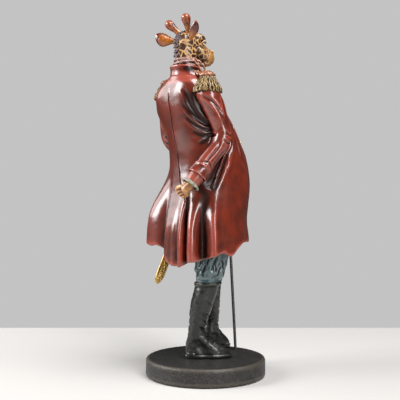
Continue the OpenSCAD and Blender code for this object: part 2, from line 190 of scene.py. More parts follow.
def bar(path, radii, sides=20, up=(0.0, 0.0, 1.0), steps=10, flat=1.0, **lobes):
    """Round bar with domed ends through a few points with a radius at each; flat thins it along up."""
    radii = np.broadcast_to(radii, len(path))
    rows = np.column_stack([np.array(path, float), radii])
    fine = smooth_path(rows, steps * len(rows))
    centre, r = fine[:, :3], fine[:, 3]
    first, last = unit(centre[0] - centre[1]), unit(centre[-1] - centre[-2])
    angles = np.radians([82, 62, 42, 20])
    start = np.array([[*(centre[0] + first * r[0] * math.sin(a) * 0.8), r[0] * math.cos(a)] for a in angles])
    end = np.array([[*(centre[-1] + last * r[-1] * math.sin(a) * 0.8), r[-1] * math.cos(a)] for a in angles[::-1]])
    whole = np.vstack([start, fine, end])
    return loft(rings_along(whole[:, :3], whole[:, 3], whole[:, 3] * flat, sides, up, **lobes))


def ball(centre, radii, pitch=0.0, sides=28):
    """Ellipsoid with half-sizes across, along and up; pitch in degrees nods it down along its length."""
    lat = np.radians(np.linspace(-86, 86, sides // 2))
    lon = np.linspace(0, 2 * math.pi, sides, endpoint=False)
    shape = np.stack([np.cos(lat)[:, None] * np.cos(lon), np.cos(lat)[:, None] * np.sin(lon),
                      np.repeat(np.sin(lat)[:, None], sides, 1)], -1) * np.broadcast_to(radii, 3)
    p = math.radians(pitch)
    nod = np.array([[1, 0, 0], [0, math.cos(p), -math.sin(p)], [0, math.sin(p), math.cos(p)]])
    return loft(shape @ nod.T + np.asarray(centre, float))


def lathe(rows, sides=160, centre=(0.0, 0.0, 0.0)):
    """Turned shape from rows (radius, height), from the bottom up."""
    t = np.linspace(0, 2 * math.pi, sides, endpoint=False)
    rows = np.array(rows, float)
    rings = np.stack([rows[:, :1] * np.cos(t), rows[:, :1] * np.sin(t), np.repeat(rows[:, 1:], sides, 1)], -1)
    return loft(rings + np.asarray(centre, float))


def press(form, path, width, depth, lip, normals):
    """Presses a crease along a path, with a soft lip on both sides; a negative depth raises a ridge."""
    reach = 3.2 * width
    close = np.flatnonzero(np.all((form.points > path.min(0) - reach) & (form.points < path.max(0) + reach), axis=1))
    p = form.points[close]
    far, share = np.full(len(p), 1e9), np.zeros(len(p))
    for i in range(len(path) - 1):
        step = path[i + 1] - path[i]
        t = np.clip((p - path[i]) @ step / max(step @ step, 1e-9), 0, 1)
        d = np.linalg.norm(p - path[i] - t[:, None] * step, axis=1)
        closer = d < far
        far[closer] = d[closer]
        share[closer] = (i + t[closer]) / (len(path) - 1)
    fade = np.sqrt(np.clip(np.sin(math.pi * share), 0, 1))
    profile = (bump(far, width) - lip * bump(far - 1.7 * width, 0.7 * width)) * fade
    form.points[close] -= normals[close] * (depth * profile)[:, None]


def press_all(form, creases, lip=0.3):
    """Presses creases given as (points, width, depth)."""
    normals = form.normals()
    for points, width, depth in creases:
        press(form, smooth_path(points, 6 * len(points)), width, depth, lip, normals)
    return form


def swell(form, amount):
    """Moves every point out along its normal by an amount in mm."""
    form.points += form.normals() * np.reshape(amount, (-1, 1))
    return form


def fuse(form, voxel, rounds):
    """One closed skin round overlapping forms, as a sculptor blends clay, smoothed a number of rounds."""
    mesh = bpy.data.meshes.new("clay")
    fill(mesh, form)
    lump = bpy.data.objects.new("clay", mesh)
    bpy.context.scene.collection.objects.link(lump)
    remesh = lump.modifiers.new("remesh", "REMESH")
    remesh.mode = "VOXEL"
    remesh.voxel_size = voxel
    smooth = lump.modifiers.new("smooth", "SMOOTH")
    smooth.factor = 0.5
    smooth.iterations = rounds
    made = bpy.data.meshes.new_from_object(lump.evaluated_get(bpy.context.evaluated_depsgraph_get()))
    points = np.empty(len(made.vertices) * 3)
    made.vertices.foreach_get("co", points)
    faces = np.full((len(made.polygons), 4), -1)
    starts, counts = np.empty(len(faces), int), np.empty(len(faces), int)
    corners = np.empty(len(made.loops), int)
    made.polygons.foreach_get("loop_start", starts)
    made.polygons.foreach_get("loop_total", counts)
    made.loops.foreach_get("vertex_index", corners)
    for k in range(4):
        real = counts > k
        faces[real, k] = corners[starts[real] + k]
    bpy.data.objects.remove(lump)
    bpy.data.meshes.remove(mesh)
    bpy.data.meshes.remove(made)
    return Form(points.reshape(-1, 3), faces)


# ---- Pieces ---------------------------------------------------------------------------------------------------

def fill(mesh, form):
    """Puts a form's points and faces into an empty mesh."""
    corners = form.faces.reshape(-1)
    corners = corners[corners >= 0]
    counts = np.where(form.faces[:, 3] < 0, 3, 4)
    mesh.vertices.add(len(form.points))
    mesh.vertices.foreach_set("co", form.points.astype(np.float32).reshape(-1))
    mesh.loops.add(len(corners))
    mesh.loops.foreach_set("vertex_index", corners.astype(np.int32))
    mesh.polygons.add(len(form.faces))
    mesh.polygons.foreach_set("loop_start", np.concatenate([[0], np.cumsum(counts)[:-1]]).astype(np.int32))
    mesh.polygons.foreach_set("use_smooth", np.ones(len(form.faces), bool))
    mesh.update(calc_edges=True)
    mesh.validate()


def make_piece(name, form, material, nodes=(), rounds=12, gain=2.0, tip=None, shade=0.0):
    """Turns a form into a piece that rides on the figure and stands for CAD nodes.

    The attribute "relief" is 0.5 on plain surface, towards 1 in recesses and towards 0 on crests.
    Shade adds painted shade to it: a positive amount darkens the paint where shade falls, and a negative one lightens
    it.
    The attribute "tip" is each point's share of the way to the piece's end, where a finish uses it.
    """
    mesh = bpy.data.meshes.new(name)
    relief = np.clip(0.5 + gain * form.relief(rounds) + shade, 0, 1)
    fill(mesh, Form(form.points * MM, form.faces))
    mesh.attributes.new("relief", "FLOAT", "POINT").data.foreach_set("value", relief.astype(np.float32))
    if tip is not None:
        mesh.attributes.new("tip", "FLOAT", "POINT").data.foreach_set("value", np.float32(tip))
    mesh.materials.append(material)
    piece = bpy.data.objects.new(name, mesh)
    bpy.context.scene.collection.objects.link(piece)
    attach(piece, "root")
    if nodes:
        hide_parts(*nodes)
    return piece


# ---- Materials ------------------------------------------------------------------------------------------------

def colour(code):
    """sRGB hex to the linear colour that a shader takes."""
    parts = [int(code[i:i + 2], 16) / 255 for i in (1, 3, 5)]
    return tuple(c / 12.92 if c <= 0.04045 else ((c + 0.055) / 1.055) ** 2.4 for c in parts) + (1.0,)


def add(tree, kind, inputs, output=0, **settings):
    """Adds a node; an input is a number, a hex colour or an output to link from. Returns the wanted output."""
    node = tree.nodes.new("ShaderNode" + kind)
    for key, value in settings.items():
        setattr(node, key, value)
    for key, value in inputs.items():
        if isinstance(value, bpy.types.NodeSocket):
            tree.links.new(value, node.inputs[key])
        else:
            node.inputs[key].default_value = colour(value) if isinstance(value, str) else value
    return node.outputs[output]


# Sockets of a Mix node that blends two colours
FACTOR, FIRST, SECOND, MIXED = 0, 6, 7, 2


def per_mm(size):
    """Scale of a texture on object coordinates in metres, for features of a size in mm."""
    return 1000.0 / size


def painted(name, base, wash, light, gloss=0.3, lacquer=0.6, wash_reach=(0.53, 0.85), light_reach=(0.44, 0.12),
            mottle_mm=9.0, vary=0.35, grain_mm=0.9, grain=0.1, metal=0.0, ground=None):
    """Acrylic paint on cast resin: a base coat, a dark wash left in the recesses, a lighter dry brush on the
    crests, brush-laid unevenness, a fine cast grain, and a brushed lacquer that thins out in the recesses.
    A ground function may paint the base coat itself from (tree, place)."""
    material = bpy.data.materials.new(name)
    material.use_nodes = True
    tree = material.node_tree
    shader = tree.nodes["Principled BSDF"]
    place = add(tree, "TexCoord", {}, "Object")
    relief = add(tree, "Attribute", {}, "Fac", attribute_name="relief")
    patches = add(tree, "TexNoise", {"Vector": place, "Scale": per_mm(mottle_mm), "Detail": 4.0, "Roughness": 0.6})
    fine = add(tree, "TexNoise", {"Vector": place, "Scale": per_mm(grain_mm), "Detail": 3.0, "Roughness": 0.6})
    uneven = add(tree, "MapRange", {"Value": patches, "From Min": 0.3, "From Max": 0.7, "To Min": -0.06,
                                    "To Max": 0.06})
    broken = add(tree, "Math", {0: relief, 1: uneven}, operation="ADD")
    thick = add(tree, "MapRange", {"Value": patches, "From Min": 0.35, "From Max": 0.7, "To Min": 0.0,
                                   "To Max": vary})
    coat = ground(tree, place) if ground else base
    paint = add(tree, "Mix", {FACTOR: thick, FIRST: coat, SECOND: wash}, MIXED, data_type="RGBA")
    # The wash mask also lays painted shade wherever a piece's shade raised its relief.
    deep = add(tree, "MapRange", {"Value": broken, "From Min": wash_reach[0], "From Max": wash_reach[1]},
               interpolation_type="SMOOTHSTEP")
    crest = add(tree, "MapRange", {"Value": broken, "From Min": light_reach[0], "From Max": light_reach[1]},
                interpolation_type="SMOOTHSTEP")
    washed = add(tree, "Mix", {FACTOR: deep, FIRST: paint, SECOND: wash}, MIXED, data_type="RGBA")
    brushed = add(tree, "Mix", {FACTOR: crest, FIRST: washed, SECOND: light}, MIXED, data_type="RGBA")
    rough = add(tree, "MapRange", {"Value": patches, "From Min": 0.25, "From Max": 0.75, "To Min": gloss * 0.8,
                                   "To Max": gloss * 1.3})
    lumps = add(tree, "Bump", {"Height": fine, "Distance": grain * MM, "Strength": 0.6})
    film = add(tree, "MapRange", {"Value": relief, "From Min": 0.55, "From Max": 0.85, "To Min": lacquer,
                                  "To Max": lacquer * 0.15})
    for socket, source in (("Base Color", brushed), ("Roughness", rough), ("Normal", lumps), ("Coat Weight", film)):
        tree.links.new(source, shader.inputs[socket])
    shader.inputs["Metallic"].default_value = metal
    shader.inputs["Coat Roughness"].default_value = 0.2
    shader.inputs["Coat IOR"].default_value = 1.6
    if not metal:
        # Paint under a film of lacquer reflects little of its own
        shader.inputs["Specular IOR Level"].default_value = 0.5 - 0.35 * lacquer
    return material


def hide_ground(tree, place):
    """Giraffe hide: dark brown patches about 5 mm across on cream that warms to ochre on the muzzle."""
    warp = add(tree, "TexNoise", {"Vector": place, "Scale": per_mm(4.0), "Detail": 2.0}, "Color")
    bent = add(tree, "Mix", {FACTOR: 0.0016, 4: place, 5: warp}, 1, data_type="VECTOR")
    edge = add(tree, "TexVoronoi", {"Vector": bent, "Scale": per_mm(6.4), "Randomness": 1.0},
               feature="DISTANCE_TO_EDGE")
    spot = add(tree, "MapRange", {"Value": edge, "From Min": 0.075, "From Max": 0.12},
               interpolation_type="SMOOTHSTEP")
    ahead = add(tree, "SeparateXYZ", {"Vector": place}, "Y")
    muzzle = add(tree, "MapRange", {"Value": ahead, "From Min": 6.5 * MM, "From Max": 3.5 * MM},
                 interpolation_type="SMOOTHSTEP")
    lips = add(tree, "MapRange", {"Value": ahead, "From Min": 2.5 * MM, "From Max": 1 * MM},
               interpolation_type="SMOOTHSTEP")
    kept = add(tree, "Math", {0: 1.0, 1: muzzle}, operation="SUBTRACT")
    patch = add(tree, "Math", {0: spot, 1: kept}, operation="MULTIPLY")
    cream = add(tree, "Mix", {FACTOR: muzzle, FIRST: "#b8905e", SECOND: "#85593c"}, MIXED, data_type="RGBA")
    face = add(tree, "Mix", {FACTOR: lips, FIRST: cream, SECOND: "#8f6128"}, MIXED, data_type="RGBA")
    return add(tree, "Mix", {FACTOR: patch, FIRST: face, SECOND: "#3a1b0b"}, MIXED, data_type="RGBA")


def horn_ground(tree, _):
    """Orange at the root that turns red-brown and then almost black at the tip; it needs no place."""
    tip = add(tree, "Attribute", {}, "Fac", attribute_name="tip")
    ruddy = add(tree, "MapRange", {"Value": tip, "From Min": 0.4, "From Max": 0.75}, interpolation_type="SMOOTHSTEP")
    dark = add(tree, "MapRange", {"Value": tip, "From Min": 0.9, "From Max": 1.3}, interpolation_type="SMOOTHSTEP")
    warm = add(tree, "Mix", {FACTOR: ruddy, FIRST: "#9b5a13", SECOND: "#461309"}, MIXED, data_type="RGBA")
    return add(tree, "Mix", {FACTOR: dark, FIRST: warm, SECOND: "#220a06"}, MIXED, data_type="RGBA")


def stone_ground(tree, place):
    """Charcoal flecked with bronze-grey, about a millimetre a fleck, and mostly round the side."""
    fleck = add(tree, "TexNoise", {"Vector": place, "Scale": per_mm(1.2), "Detail": 5.0, "Roughness": 0.8})
    pale = add(tree, "MapRange", {"Value": fleck, "From Min": 0.55, "From Max": 0.7})
    height = add(tree, "SeparateXYZ", {"Vector": place}, "Z")
    on_side = add(tree, "MapRange", {"Value": height, "From Min": BASE_TOP * MM, "From Max": (BASE_TOP - 1) * MM,
                                     "To Min": 0.15})
    rubbed = add(tree, "Math", {0: pale, 1: on_side}, operation="MULTIPLY")
    return add(tree, "Mix", {FACTOR: rubbed, FIRST: "#11100f", SECOND: "#75695a"}, MIXED, data_type="RGBA")


# Oxblood acrylic under brushed lacquer: deep red-brown, near black in the folds, rosy where it is rubbed thin.
COAT_PAINT = painted("oxblood_paint", "#64200f", "#210904", "#84372a", gloss=0.4, lacquer=1.0, vary=0.6,
                     mottle_mm=14.0)
# The same red with more white in it, on the undersleeve: dull brick, with a soft sheen.
UNDERSLEEVE_PAINT = painted("brick_paint", "#6a261d", "#220906", "#874030", gloss=0.36, lacquer=0.4)
# Black acrylic under lacquer on the boots: warm near-black with grey rubbed edges, glossy as waxed leather.
BOOT_PAINT = painted("boot_black_paint", "#0d0e0c", "#050504", "#1b1c18", gloss=0.36, lacquer=0.3, vary=0.5)
# Slate blue-grey acrylic with a black wash: cool grey crests and dark wrinkles.
BREECHES_PAINT = painted("slate_paint", "#28363a", "#0a0e10", "#4f6266", gloss=0.34, lacquer=0.8, mottle_mm=6.0)
# Gold metallic paint under a black wash: warm yellow metal on the crests and almost black between strands.
GOLD_PAINT = painted("gold_paint", "#2a1f0a", "#060402", "#6e5425", gloss=0.42, lacquer=0.3, metal=0.45,
                     wash_reach=(0.46, 0.62), grain_mm=0.6, grain=0.2)
# The same gold laid on thicker and rubbed brighter, on the scabbard's mount, the hilt and the cane's knob.
BRIGHT_GOLD_PAINT = painted("bright_gold_paint", "#6a4e1a", "#080502", "#c09a4c", gloss=0.34, lacquer=0.4, metal=0.5,
                            wash_reach=(0.4, 0.54), mottle_mm=2.5, vary=0.95, grain_mm=0.6, grain=0.2)
# Coppery brown-red paint on the epaulette's pad and cord: a dull metallic sheen.
COPPER_PAINT = painted("copper_paint", "#5c2c1e", "#1c0905", "#8f5c40", gloss=0.34, lacquer=0.5, metal=0.25)
# Greyed off-white paint with a green-grey wash on the shirt frill.
FRILL_PAINT = painted("linen_paint", "#45473c", "#12140f", "#77786a", gloss=0.42, lacquer=0.25, mottle_mm=5.0)
# Ochre flesh paint with a brown wash between the fingers.
HAND_PAINT = painted("ochre_paint", "#94602f", "#361a0b", "#c29060", gloss=0.38, lacquer=0.4, mottle_mm=5.0)
# Brownish pink paint on the neckcloth, washed dark in its folds.
CLOTH_PAINT = painted("rose_brown_paint", "#6c463f", "#26100e", "#96736b", gloss=0.36, lacquer=0.4, mottle_mm=5.0)
# Very dark purple-brown paint on the mane, lilac-grey where the tufts are dry-brushed.
MANE_PAINT = painted("mane_paint", "#2a1619", "#0d0606", "#4a363c", gloss=0.4, lacquer=0.4, mottle_mm=3.0)
# Black paint with a thick lacquer on the cane and scabbard: a clean, hard highlight.
CANE_PAINT = painted("cane_black_paint", "#0c0c0c", "#040404", "#1c1c1c", gloss=0.3, lacquer=0.4, grain=0.05)
# Dark bronze-brown paint on the buttons, rubbed to gold on top.
BUTTON_PAINT = painted("button_bronze_paint", "#5a3a22", "#170c06", "#b08a4a", gloss=0.3, lacquer=0.5, metal=0.5)
# Giraffe hide in hand-laid dots of dark brown on cream, with ochre lips, softly lacquered.
HIDE_PAINT = painted("giraffe_hide_paint", "#b8905e", "#33190c", "#d6b88e", gloss=0.42, lacquer=0.3, vary=0.15,
                     mottle_mm=4.0, light_reach=(0.3, -0.1), ground=hide_ground)
# Horns and ears run from orange to red-brown at the tips: wet-looking, as thick lacquer over a blended coat.
HORN_PAINT = painted("horn_paint", "#7a3c0e", "#3a1206", "#8a3f1c", gloss=0.3, lacquer=0.8, vary=0.15,
                     mottle_mm=6.0, light_reach=(0.3, 0.0), wash_reach=(0.62, 0.95), ground=horn_ground)
# Gloss black on the eyes: a hard wet highlight.
EYE_PAINT = painted("eye_gloss_paint", "#0d0a08", "#050403", "#1a1512", gloss=0.08, lacquer=1.0, grain=0.0)
# Charcoal paint over a stippled cast base: satin, speckled grey where its grain is rubbed.
BASE_PAINT = painted("stippled_charcoal_paint", "#181715", "#090808", "#39332b", gloss=0.55, lacquer=0.08,
                     light_reach=(0.4, -0.1), grain_mm=1.4, grain=0.5, mottle_mm=7.0, vary=0.3,
                     ground=stone_ground)
# Black felt under the base: matt, with a short pile.
FELT = painted("pressed_felt", "#1b1b1c", "#0d0d0e", "#2c2c2e", gloss=0.95, lacquer=0.0, grain_mm=0.5, grain=0.4)
# Bright drawn steel wire for the rods inside the legs and neck.
STEEL = painted("drawn_steel", "#a9a9ab", "#6f6f72", "#cfcfd2", gloss=0.28, lacquer=0.0, metal=1.0, grain=0.02)


# ---- Coat -----------------------------------------------------------------------------------------------------

# Reach behind and before the middle of the base, and half-width, at heights above the table
BACK = [(120, 46), (145, 46), (160, 45), (184, 41), (206, 37), (238, 36), (264, 41.5), (296, 45), (312, 44.5),
        (322, 41)]
FRONT = [(120, 47), (146, 47), (173, 45), (184, 47), (206, 51), (238, 46), (255, 38.5), (275, 27), (296, 10),
         (312, -4), (322, -9)]
HALF = [(120, 49), (146, 48), (173, 47), (206, 44), (238, 40), (255, 36.5), (275, 33), (296, 30), (308, 30),
        (314, 27.5), (318, 24), (321, 19.5), (322, 17)]
# Height of the hem at angles from the back seam, positive towards the figure's right
HEM = [(-180, 178), (-176, 165), (-170, 151), (-160, 144), (-150, 143), (-120, 139), (-90, 143), (-60, 140),
       (-38, 143), (-32, 141), (-27, 142), (-21, 139.5), (-14.5, 134), (-7.5, 127), (2, 122), (12, 121), (20, 121),
       (24, 124.5), (35, 126), (42, 126.5), (54, 129), (67.5, 133), (76, 135.5), (84, 132), (89, 132.5),
       (96, 138.5), (106, 144), (120, 145), (136, 145), (150, 147), (162, 149), (170, 153), (176, 165), (180, 178)]
# Folds of the skirt: angle from the back seam, height, width in degrees, and height where the fold dies out
FOLDS = [(-40, 15, 15, 230), (-18, -3.2, 5, 226), (-8, 2.0, 6, 195), (4, 1.2, 6, 200), (12, -1.0, 4, 190),
         (18.5, 2.4, 3.6, 203), (25, -12, 3.2, 204), (36, 4, 7, 206), (49.5, -8, 8, 207), (63, 5.5, 6.5, 208),
         (74, 1.5, 8, 200), (98, 2, 14, 190), (-75, -4, 9, 200), (-87, 2, 6, 195), (-100, 4, 9, 205),
         (-113, -2.5, 5, 190), (-126, -3, 9, 195), (-145, 2, 7, 190), (120, -1.6, 6, 190), (150, 1.6, 8, 190)]
SKIRT_WALL = 3.0
# Squareness of the coat's cross-section: 2 is an ellipse, and more bulges its corners
ROUND = 2.15


def coat_fold(a, z):
    skirt = sum(height * bump(turn(a - at), width) * smoothstep(top - z, 0, 60) for at, height, width, top in FOLDS)
    shoulder_blade = 10.0 * bump(turn(a + 56), 36) + 2.0 * bump(turn(a - 60), 40)
    return skirt + shoulder_blade * smoothstep(z, 252, 290) * smoothstep(NECK_Z - z, -2, 26)


def coat_point(a, z, grow=0.0):
    """Points of the coat's outside at angles from the back seam and heights."""
    a, z = np.broadcast_arrays(np.asarray(a, float), np.asarray(z, float))
    back, front, side = curve(z, BACK), curve(z, FRONT), curve(z, HALF)
    s, c = np.sin(np.radians(a)), np.cos(np.radians(a))
    depth = (back + front) / 2
    r = (np.abs(c / depth) ** ROUND + np.abs(s / side) ** ROUND) ** (-1 / ROUND) + coat_fold(a, z) + grow
    return np.stack([BODY_X - r * s, (back - front) / 2 + r * c, z], -1)


# Seams, tailored lines and pulled creases, as points (angle, height), with a width and a depth in mm
COAT_LINES = [
    ([(-12, 321), (-3, 299), (0.5, 284), (1, 262), (1.5, 234), (5, 219), (9, 206), (18, 194), (24, 180)], 0.7, 1.3),
    ([(-10, 319), (-1, 299), (2.5, 284), (3, 262), (3.5, 234), (7, 220)], 0.8, -0.25),
    ([(-34, 318), (-44, 300), (-46, 280), (-40, 262), (-32, 240), (-27, 216)], 0.5, 0.35),
    ([(42, 306), (45.5, 298), (47, 285), (55, 275), (68, 267)], 2.6, 1.5),
    ([(34, 290), (41, 281), (50, 274), (64, 267)], 1.8, 0.8),
    ([(32, 277), (40, 270), (51, 265), (66, 262)], 1.6, 1.0),
    ([(38, 262), (46, 258), (57, 257), (68, 260)], 2.0, 0.8),
    ([(40, 248), (50, 251), (60, 255), (70, 259)], 2.2, 0.6),
    ([(-62, 292), (-48, 280), (-34, 266), (-20, 255)], 2.2, 1.4),
    ([(-66, 276), (-52, 262), (-38, 250)], 1.9, 1.1),
    ([(-60, 240), (-72, 232), (-86, 230)], 1.8, 0.9),
    ([(104, 256), (92, 246), (78, 237), (65, 220), (56, 201)], 1.5, -2.2),
    ([(96, 256), (84, 247), (72, 234), (60, 218), (50, 202)], 5.5, 4.5),
    ([(88, 262), (76, 254), (66, 244), (56, 232), (46, 218)], 5.0, 3.0),
    ([(86, 240), (82, 230), (80, 220)], 1.6, -0.6),
    ([(118, 262), (114, 250), (108, 238)], 2.0, 1.0),
    ([(124, 252), (118, 240), (116, 226)], 1.8, 0.8),
    ([(-96, 250), (-108, 238), (-118, 220)], 2.0, 1.0),
    ([(-104, 262), (-116, 250), (-128, 234)], 2.0, 0.9),
]
COAT_ANGLES = np.arange(0, 360, 0.5)
ROW_GAP = 0.7


def skirt_ring(share, grow=0.0):
    """Ring that follows the hem at share 0 and lies level at share 1."""
    hem = curve(turn(COAT_ANGLES), HEM)
    return coat_point(COAT_ANGLES, mix(hem, SKIRT_TOP, share), grow)


def coat_form():
    inner = [skirt_ring(share, -SKIRT_WALL) for share in np.linspace(1, 0.03, 40)]
    hem = [skirt_ring(0.0, grow) - vec(0, 0, drop) for grow, drop in
           ((-SKIRT_WALL * 0.9, 0.0), (-SKIRT_WALL * 0.6, 0.5), (-SKIRT_WALL * 0.3, 0.5), (-0.2, 0.1))]
    skirt = [skirt_ring(share) for share in np.linspace(0.02, 1, 90)]
    torso = [coat_point(COAT_ANGLES, z) for z in np.arange(SKIRT_TOP + ROW_GAP, NECK_Z - 0.3, ROW_GAP)]
    form = loft(inner + hem + skirt + torso)
    swell(form, 0.3 * wobble(form.points, 30, 3) + 0.05 * wobble(form.points, 9, 4))
    return press_all(form, [(coat_point(*np.array(line).T), width, depth) for line, width, depth in COAT_LINES])


def path_mask(points, path, reach):
    """Soft mask, 1 on a path through a few points and fading over a reach in mm."""
    away = np.full(len(points), 1e9)
    for at in smooth_path(path, 40):
        away = np.minimum(away, np.linalg.norm(points - at, axis=1))
    return bump(away, reach)


# Painted shade where shade falls under the arms, in the skirt's pleat and valleys and below the hand: a path of points
# (angle, height), its reach in mm, and how much darker it paints
PAINTED_SHADE_PATHS = [
    ([(54, 298), (56, 280), (61, 265), (68, 250)], 13, 0.36),
    ([(44, 292), (48, 276), (54, 262)], 8, 0.14),
    ([(88, 248), (72, 232), (58, 208)], 8, 0.3),
    ([(47, 196), (50, 180), (50, 130)], 8, 0.26),
    ([(25, 200), (25, 160), (25, 128)], 3, 0.3),
    ([(34, 204), (46, 203), (56, 204)], 6, 0.25),
    ([(-60, 290), (-70, 262), (-74, 246)], 12, 0.3),
]
# Darkening added towards the hem, and the heights where it is full and where it ends
HEM_DARKENING, HEM_DARKENING_FULL, HEM_DARKENING_END = 0.09, 132, 168

coat = coat_form()
# Painted shade: each path's wash amount darkens the coat's paint along it.
coat_darkening = sum(wash * path_mask(coat.points, coat_point(*np.array(line).T), reach)
                 for line, reach, wash in PAINTED_SHADE_PATHS)
coat_darkening += HEM_DARKENING * smoothstep(-coat.points[:, 2], -HEM_DARKENING_END, -HEM_DARKENING_FULL)
make_piece("coat", coat, COAT_PAINT, ["coat_body"], rounds=60, gain=0.5, shade=coat_darkening)

# Raised piping down both front edges and round the collar
for side in (RIGHT, LEFT):
    edge = [(side * 171, 150), (side * 172, 165), (side * 170, 190), (side * 165, 215), (side * 158, 245),
            (side * 152, 272), (side * 150, 296), (side * 158, 312)]
    heights = np.array(edge)
    lapel = bar(coat_point(heights[:, 0], heights[:, 1], 0.3), 1.5, 16, (0, 1, 0), 22)
    make_piece("front_edge_" + NAMES[side], lapel, COAT_PAINT)


# Half the angle that the collar goes round the neck, and how far its foot flares to the sides
COLLAR_REACH, COLLAR_FLARE = 152, 6.0


def collar_form():
    """Standing collar, open at the throat, with a rolled upper edge and a seam at its root."""
    profile = np.array([(15.9, 320.6), (16.0, 322.6), (16.0, 324), (16.0, 328), (16.7, 331), (17.0, 332.2),
                        (16.4, 333), (15.2, 332.8), (14.2, 331.5), (13.6, 327), (13.4, 321.4)])
    flare = COLLAR_FLARE * smoothstep(-profile[:, 1], -331, -319.5)
    rings = [np.column_stack([BODY_X - (profile[:, 0] + flare * math.sin(a) ** 2) * math.sin(a),
                              NECK_Y + profile[:, 0] * math.cos(a), profile[:, 1] - 1.2 * (1 - math.cos(a))])
             for a in np.radians(np.linspace(-COLLAR_REACH, COLLAR_REACH, 200))]
    return loft(rings[::-1])


make_piece("collar", collar_form(), COAT_PAINT, ["coat_collar"])


# ---- Legs -----------------------------------------------------------------------------------------------------

ANKLE_Z = 51.0


def leg_at(side, z):
    """Middle of a leg at a height: each leg is a straight line through its ankle."""
    foot, lean = (vec(-1, 13, 51), vec(-0.17, -0.18, 1)) if side == RIGHT else (vec(24, -28, 51), vec(-0.08, 0.14, 1))
    return foot + lean * (np.asarray(z, float)[..., None] - ANKLE_Z)


TOE_HEADING = {RIGHT: math.radians(-123), LEFT: math.radians(-83)}
FOOT_SHARE = {RIGHT: 1.0, LEFT: 0.78}
# Sections of a boot: height, shift of the middle towards the toes, half-length, half-width
BOOT = [(19.6, 12.6, 24.6, 8.6), (22.5, 12.8, 25, 9.2), (27, 11.6, 23.8, 9), (32, 8.6, 20.4, 8.4),
        (37, 5, 16.4, 8), (43, 1.8, 11.8, 7.8), (51, 0, 9.2, 8), (60, -0.4, 10, 8.8), (74, -1, 11.8, 10.8),
        (88, -0.4, 12.8, 12.2), (97, 0, 13.2, 12.8), (102, 0, 13.6, 13.2)]


def boot_point(side, t, z, grow=0.0):
    """Points of a boot at angles round from the toes, and heights."""
    t, z = np.broadcast_arrays(np.radians(np.asarray(t, float)), np.asarray(z, float))
    s = curve(z, BOOT)
    heel = s[..., 0] - s[..., 1]
    toe = (s[..., 0] + s[..., 1]) * np.where(z < ANKLE_Z, FOOT_SHARE[side], 1.0)
    foot = smoothstep(44 - z, 0, 12)
    c = np.cos(t)
    narrow = 1 - foot * (0.22 * np.clip(c, 0, 1) ** 2 + 0.2 * bump(c + 0.15, 0.35) + 0.1 * np.clip(-c, 0, 1))
    h = TOE_HEADING[side]
    ahead, across = (heel + toe) / 2 + ((toe - heel) / 2 + grow) * c, (s[..., 2] * narrow + grow) * np.sin(t)
    p = leg_at(side, np.maximum(z, ANKLE_Z))
    return np.stack([p[..., 0] + ahead * math.cos(h) - across * math.sin(h),
                     p[..., 1] + ahead * math.sin(h) + across * math.cos(h), z], -1)


# Wrinkles of a boot as points (angle from the toes, height), with a width and a depth
BOOT_LINES = [
    ([(-70, 62), (-30, 57), (10, 58), (60, 64)], 1.0, 0.9), ([(-80, 54), (-30, 50), (20, 49), (75, 55)], 1.1, 1.0),
    ([(-60, 68), (-20, 65), (30, 66)], 1.0, 0.7), ([(-75, 46), (-25, 43), (20, 42), (70, 47)], 1.0, 0.9),
    ([(100, 58), (150, 55), (200, 57), (250, 60)], 1.0, 0.7), ([(120, 66), (170, 64), (220, 67)], 0.9, 0.6),
    ([(-50, 36), (-20, 38), (15, 37), (45, 34)], 0.9, 0.5), ([(95, 50), (140, 47), (190, 48)], 1.0, 0.7),
    ([(180, 22), (180, 40), (180, 60), (180, 80), (180, 99)], 0.5, 0.5),
    ([(-88, 84), (-50, 78), (-10, 80)], 1.4, 0.5), ([(20, 90), (70, 84), (110, 86)], 1.4, 0.5),
    ([(-120, 76), (-150, 71), (-190, 74)], 1.3, 0.5)]


def boot_form(side):
    t = np.linspace(0, 360, 150, endpoint=False)
    rows = [(19.7, -0.6), (20.1, 0.3), (21.5, 0.6), (22.8, 0.6), (23.3, 0.2), (23.8, -0.3), (24.6, -0.1)]
    rows += [(z, 0.0) for z in np.arange(25.4, 97.4, 0.7)]
    rows += [(97.6, 0.1), (98.1, 0.8), (99, 1.2), (100.4, 1.3), (101.5, 1.0), (102, 0.2), (102, -1.4),
             (101, -2.2), (99, -2.5)]
    form = loft([boot_point(side, t, z, grow) for z, grow in rows])
    swell(form, (0.3 * wobble(form.points, 18, 7) + 0.12 * wobble(form.points, 6, 8)) *
          smoothstep(form.points[:, 2], 20, 26))
    return press_all(form, [(boot_point(side, *np.array(line).T), width, depth) for line, width, depth in BOOT_LINES])


def heel_form(side):
    """Stacked heel, standing on the base behind the arch."""
    t = np.radians(np.linspace(0, 360, 60, endpoint=False))
    h, p = TOE_HEADING[side], leg_at(side, ANKLE_Z)
    rings = []
    for z, size in ((19.6, 6.6), (20.0, 7.2), (23.5, 7.4), (26, 7.6), (26.4, 7.2)):
        ahead, across = -4.4 + size * np.cos(t), size * 0.92 * np.sin(t)
        rings.append(np.stack([p[0] + ahead * math.cos(h) - across * math.sin(h),
                               p[1] + ahead * math.sin(h) + across * math.cos(h), np.full_like(t, z)], -1))
    return loft(rings)


# Sections of a breeches leg: height, half-length, half-width
BREECHES = [(101, 11.8, 11.4), (103.4, 12.4, 12.0), (106, 14.0, 13.4), (111, 15.2, 14.6), (118, 15.2, 14.6),
            (132, 15, 14.4), (160, 15.5, 14.6), (190, 15.5, 14.6)]


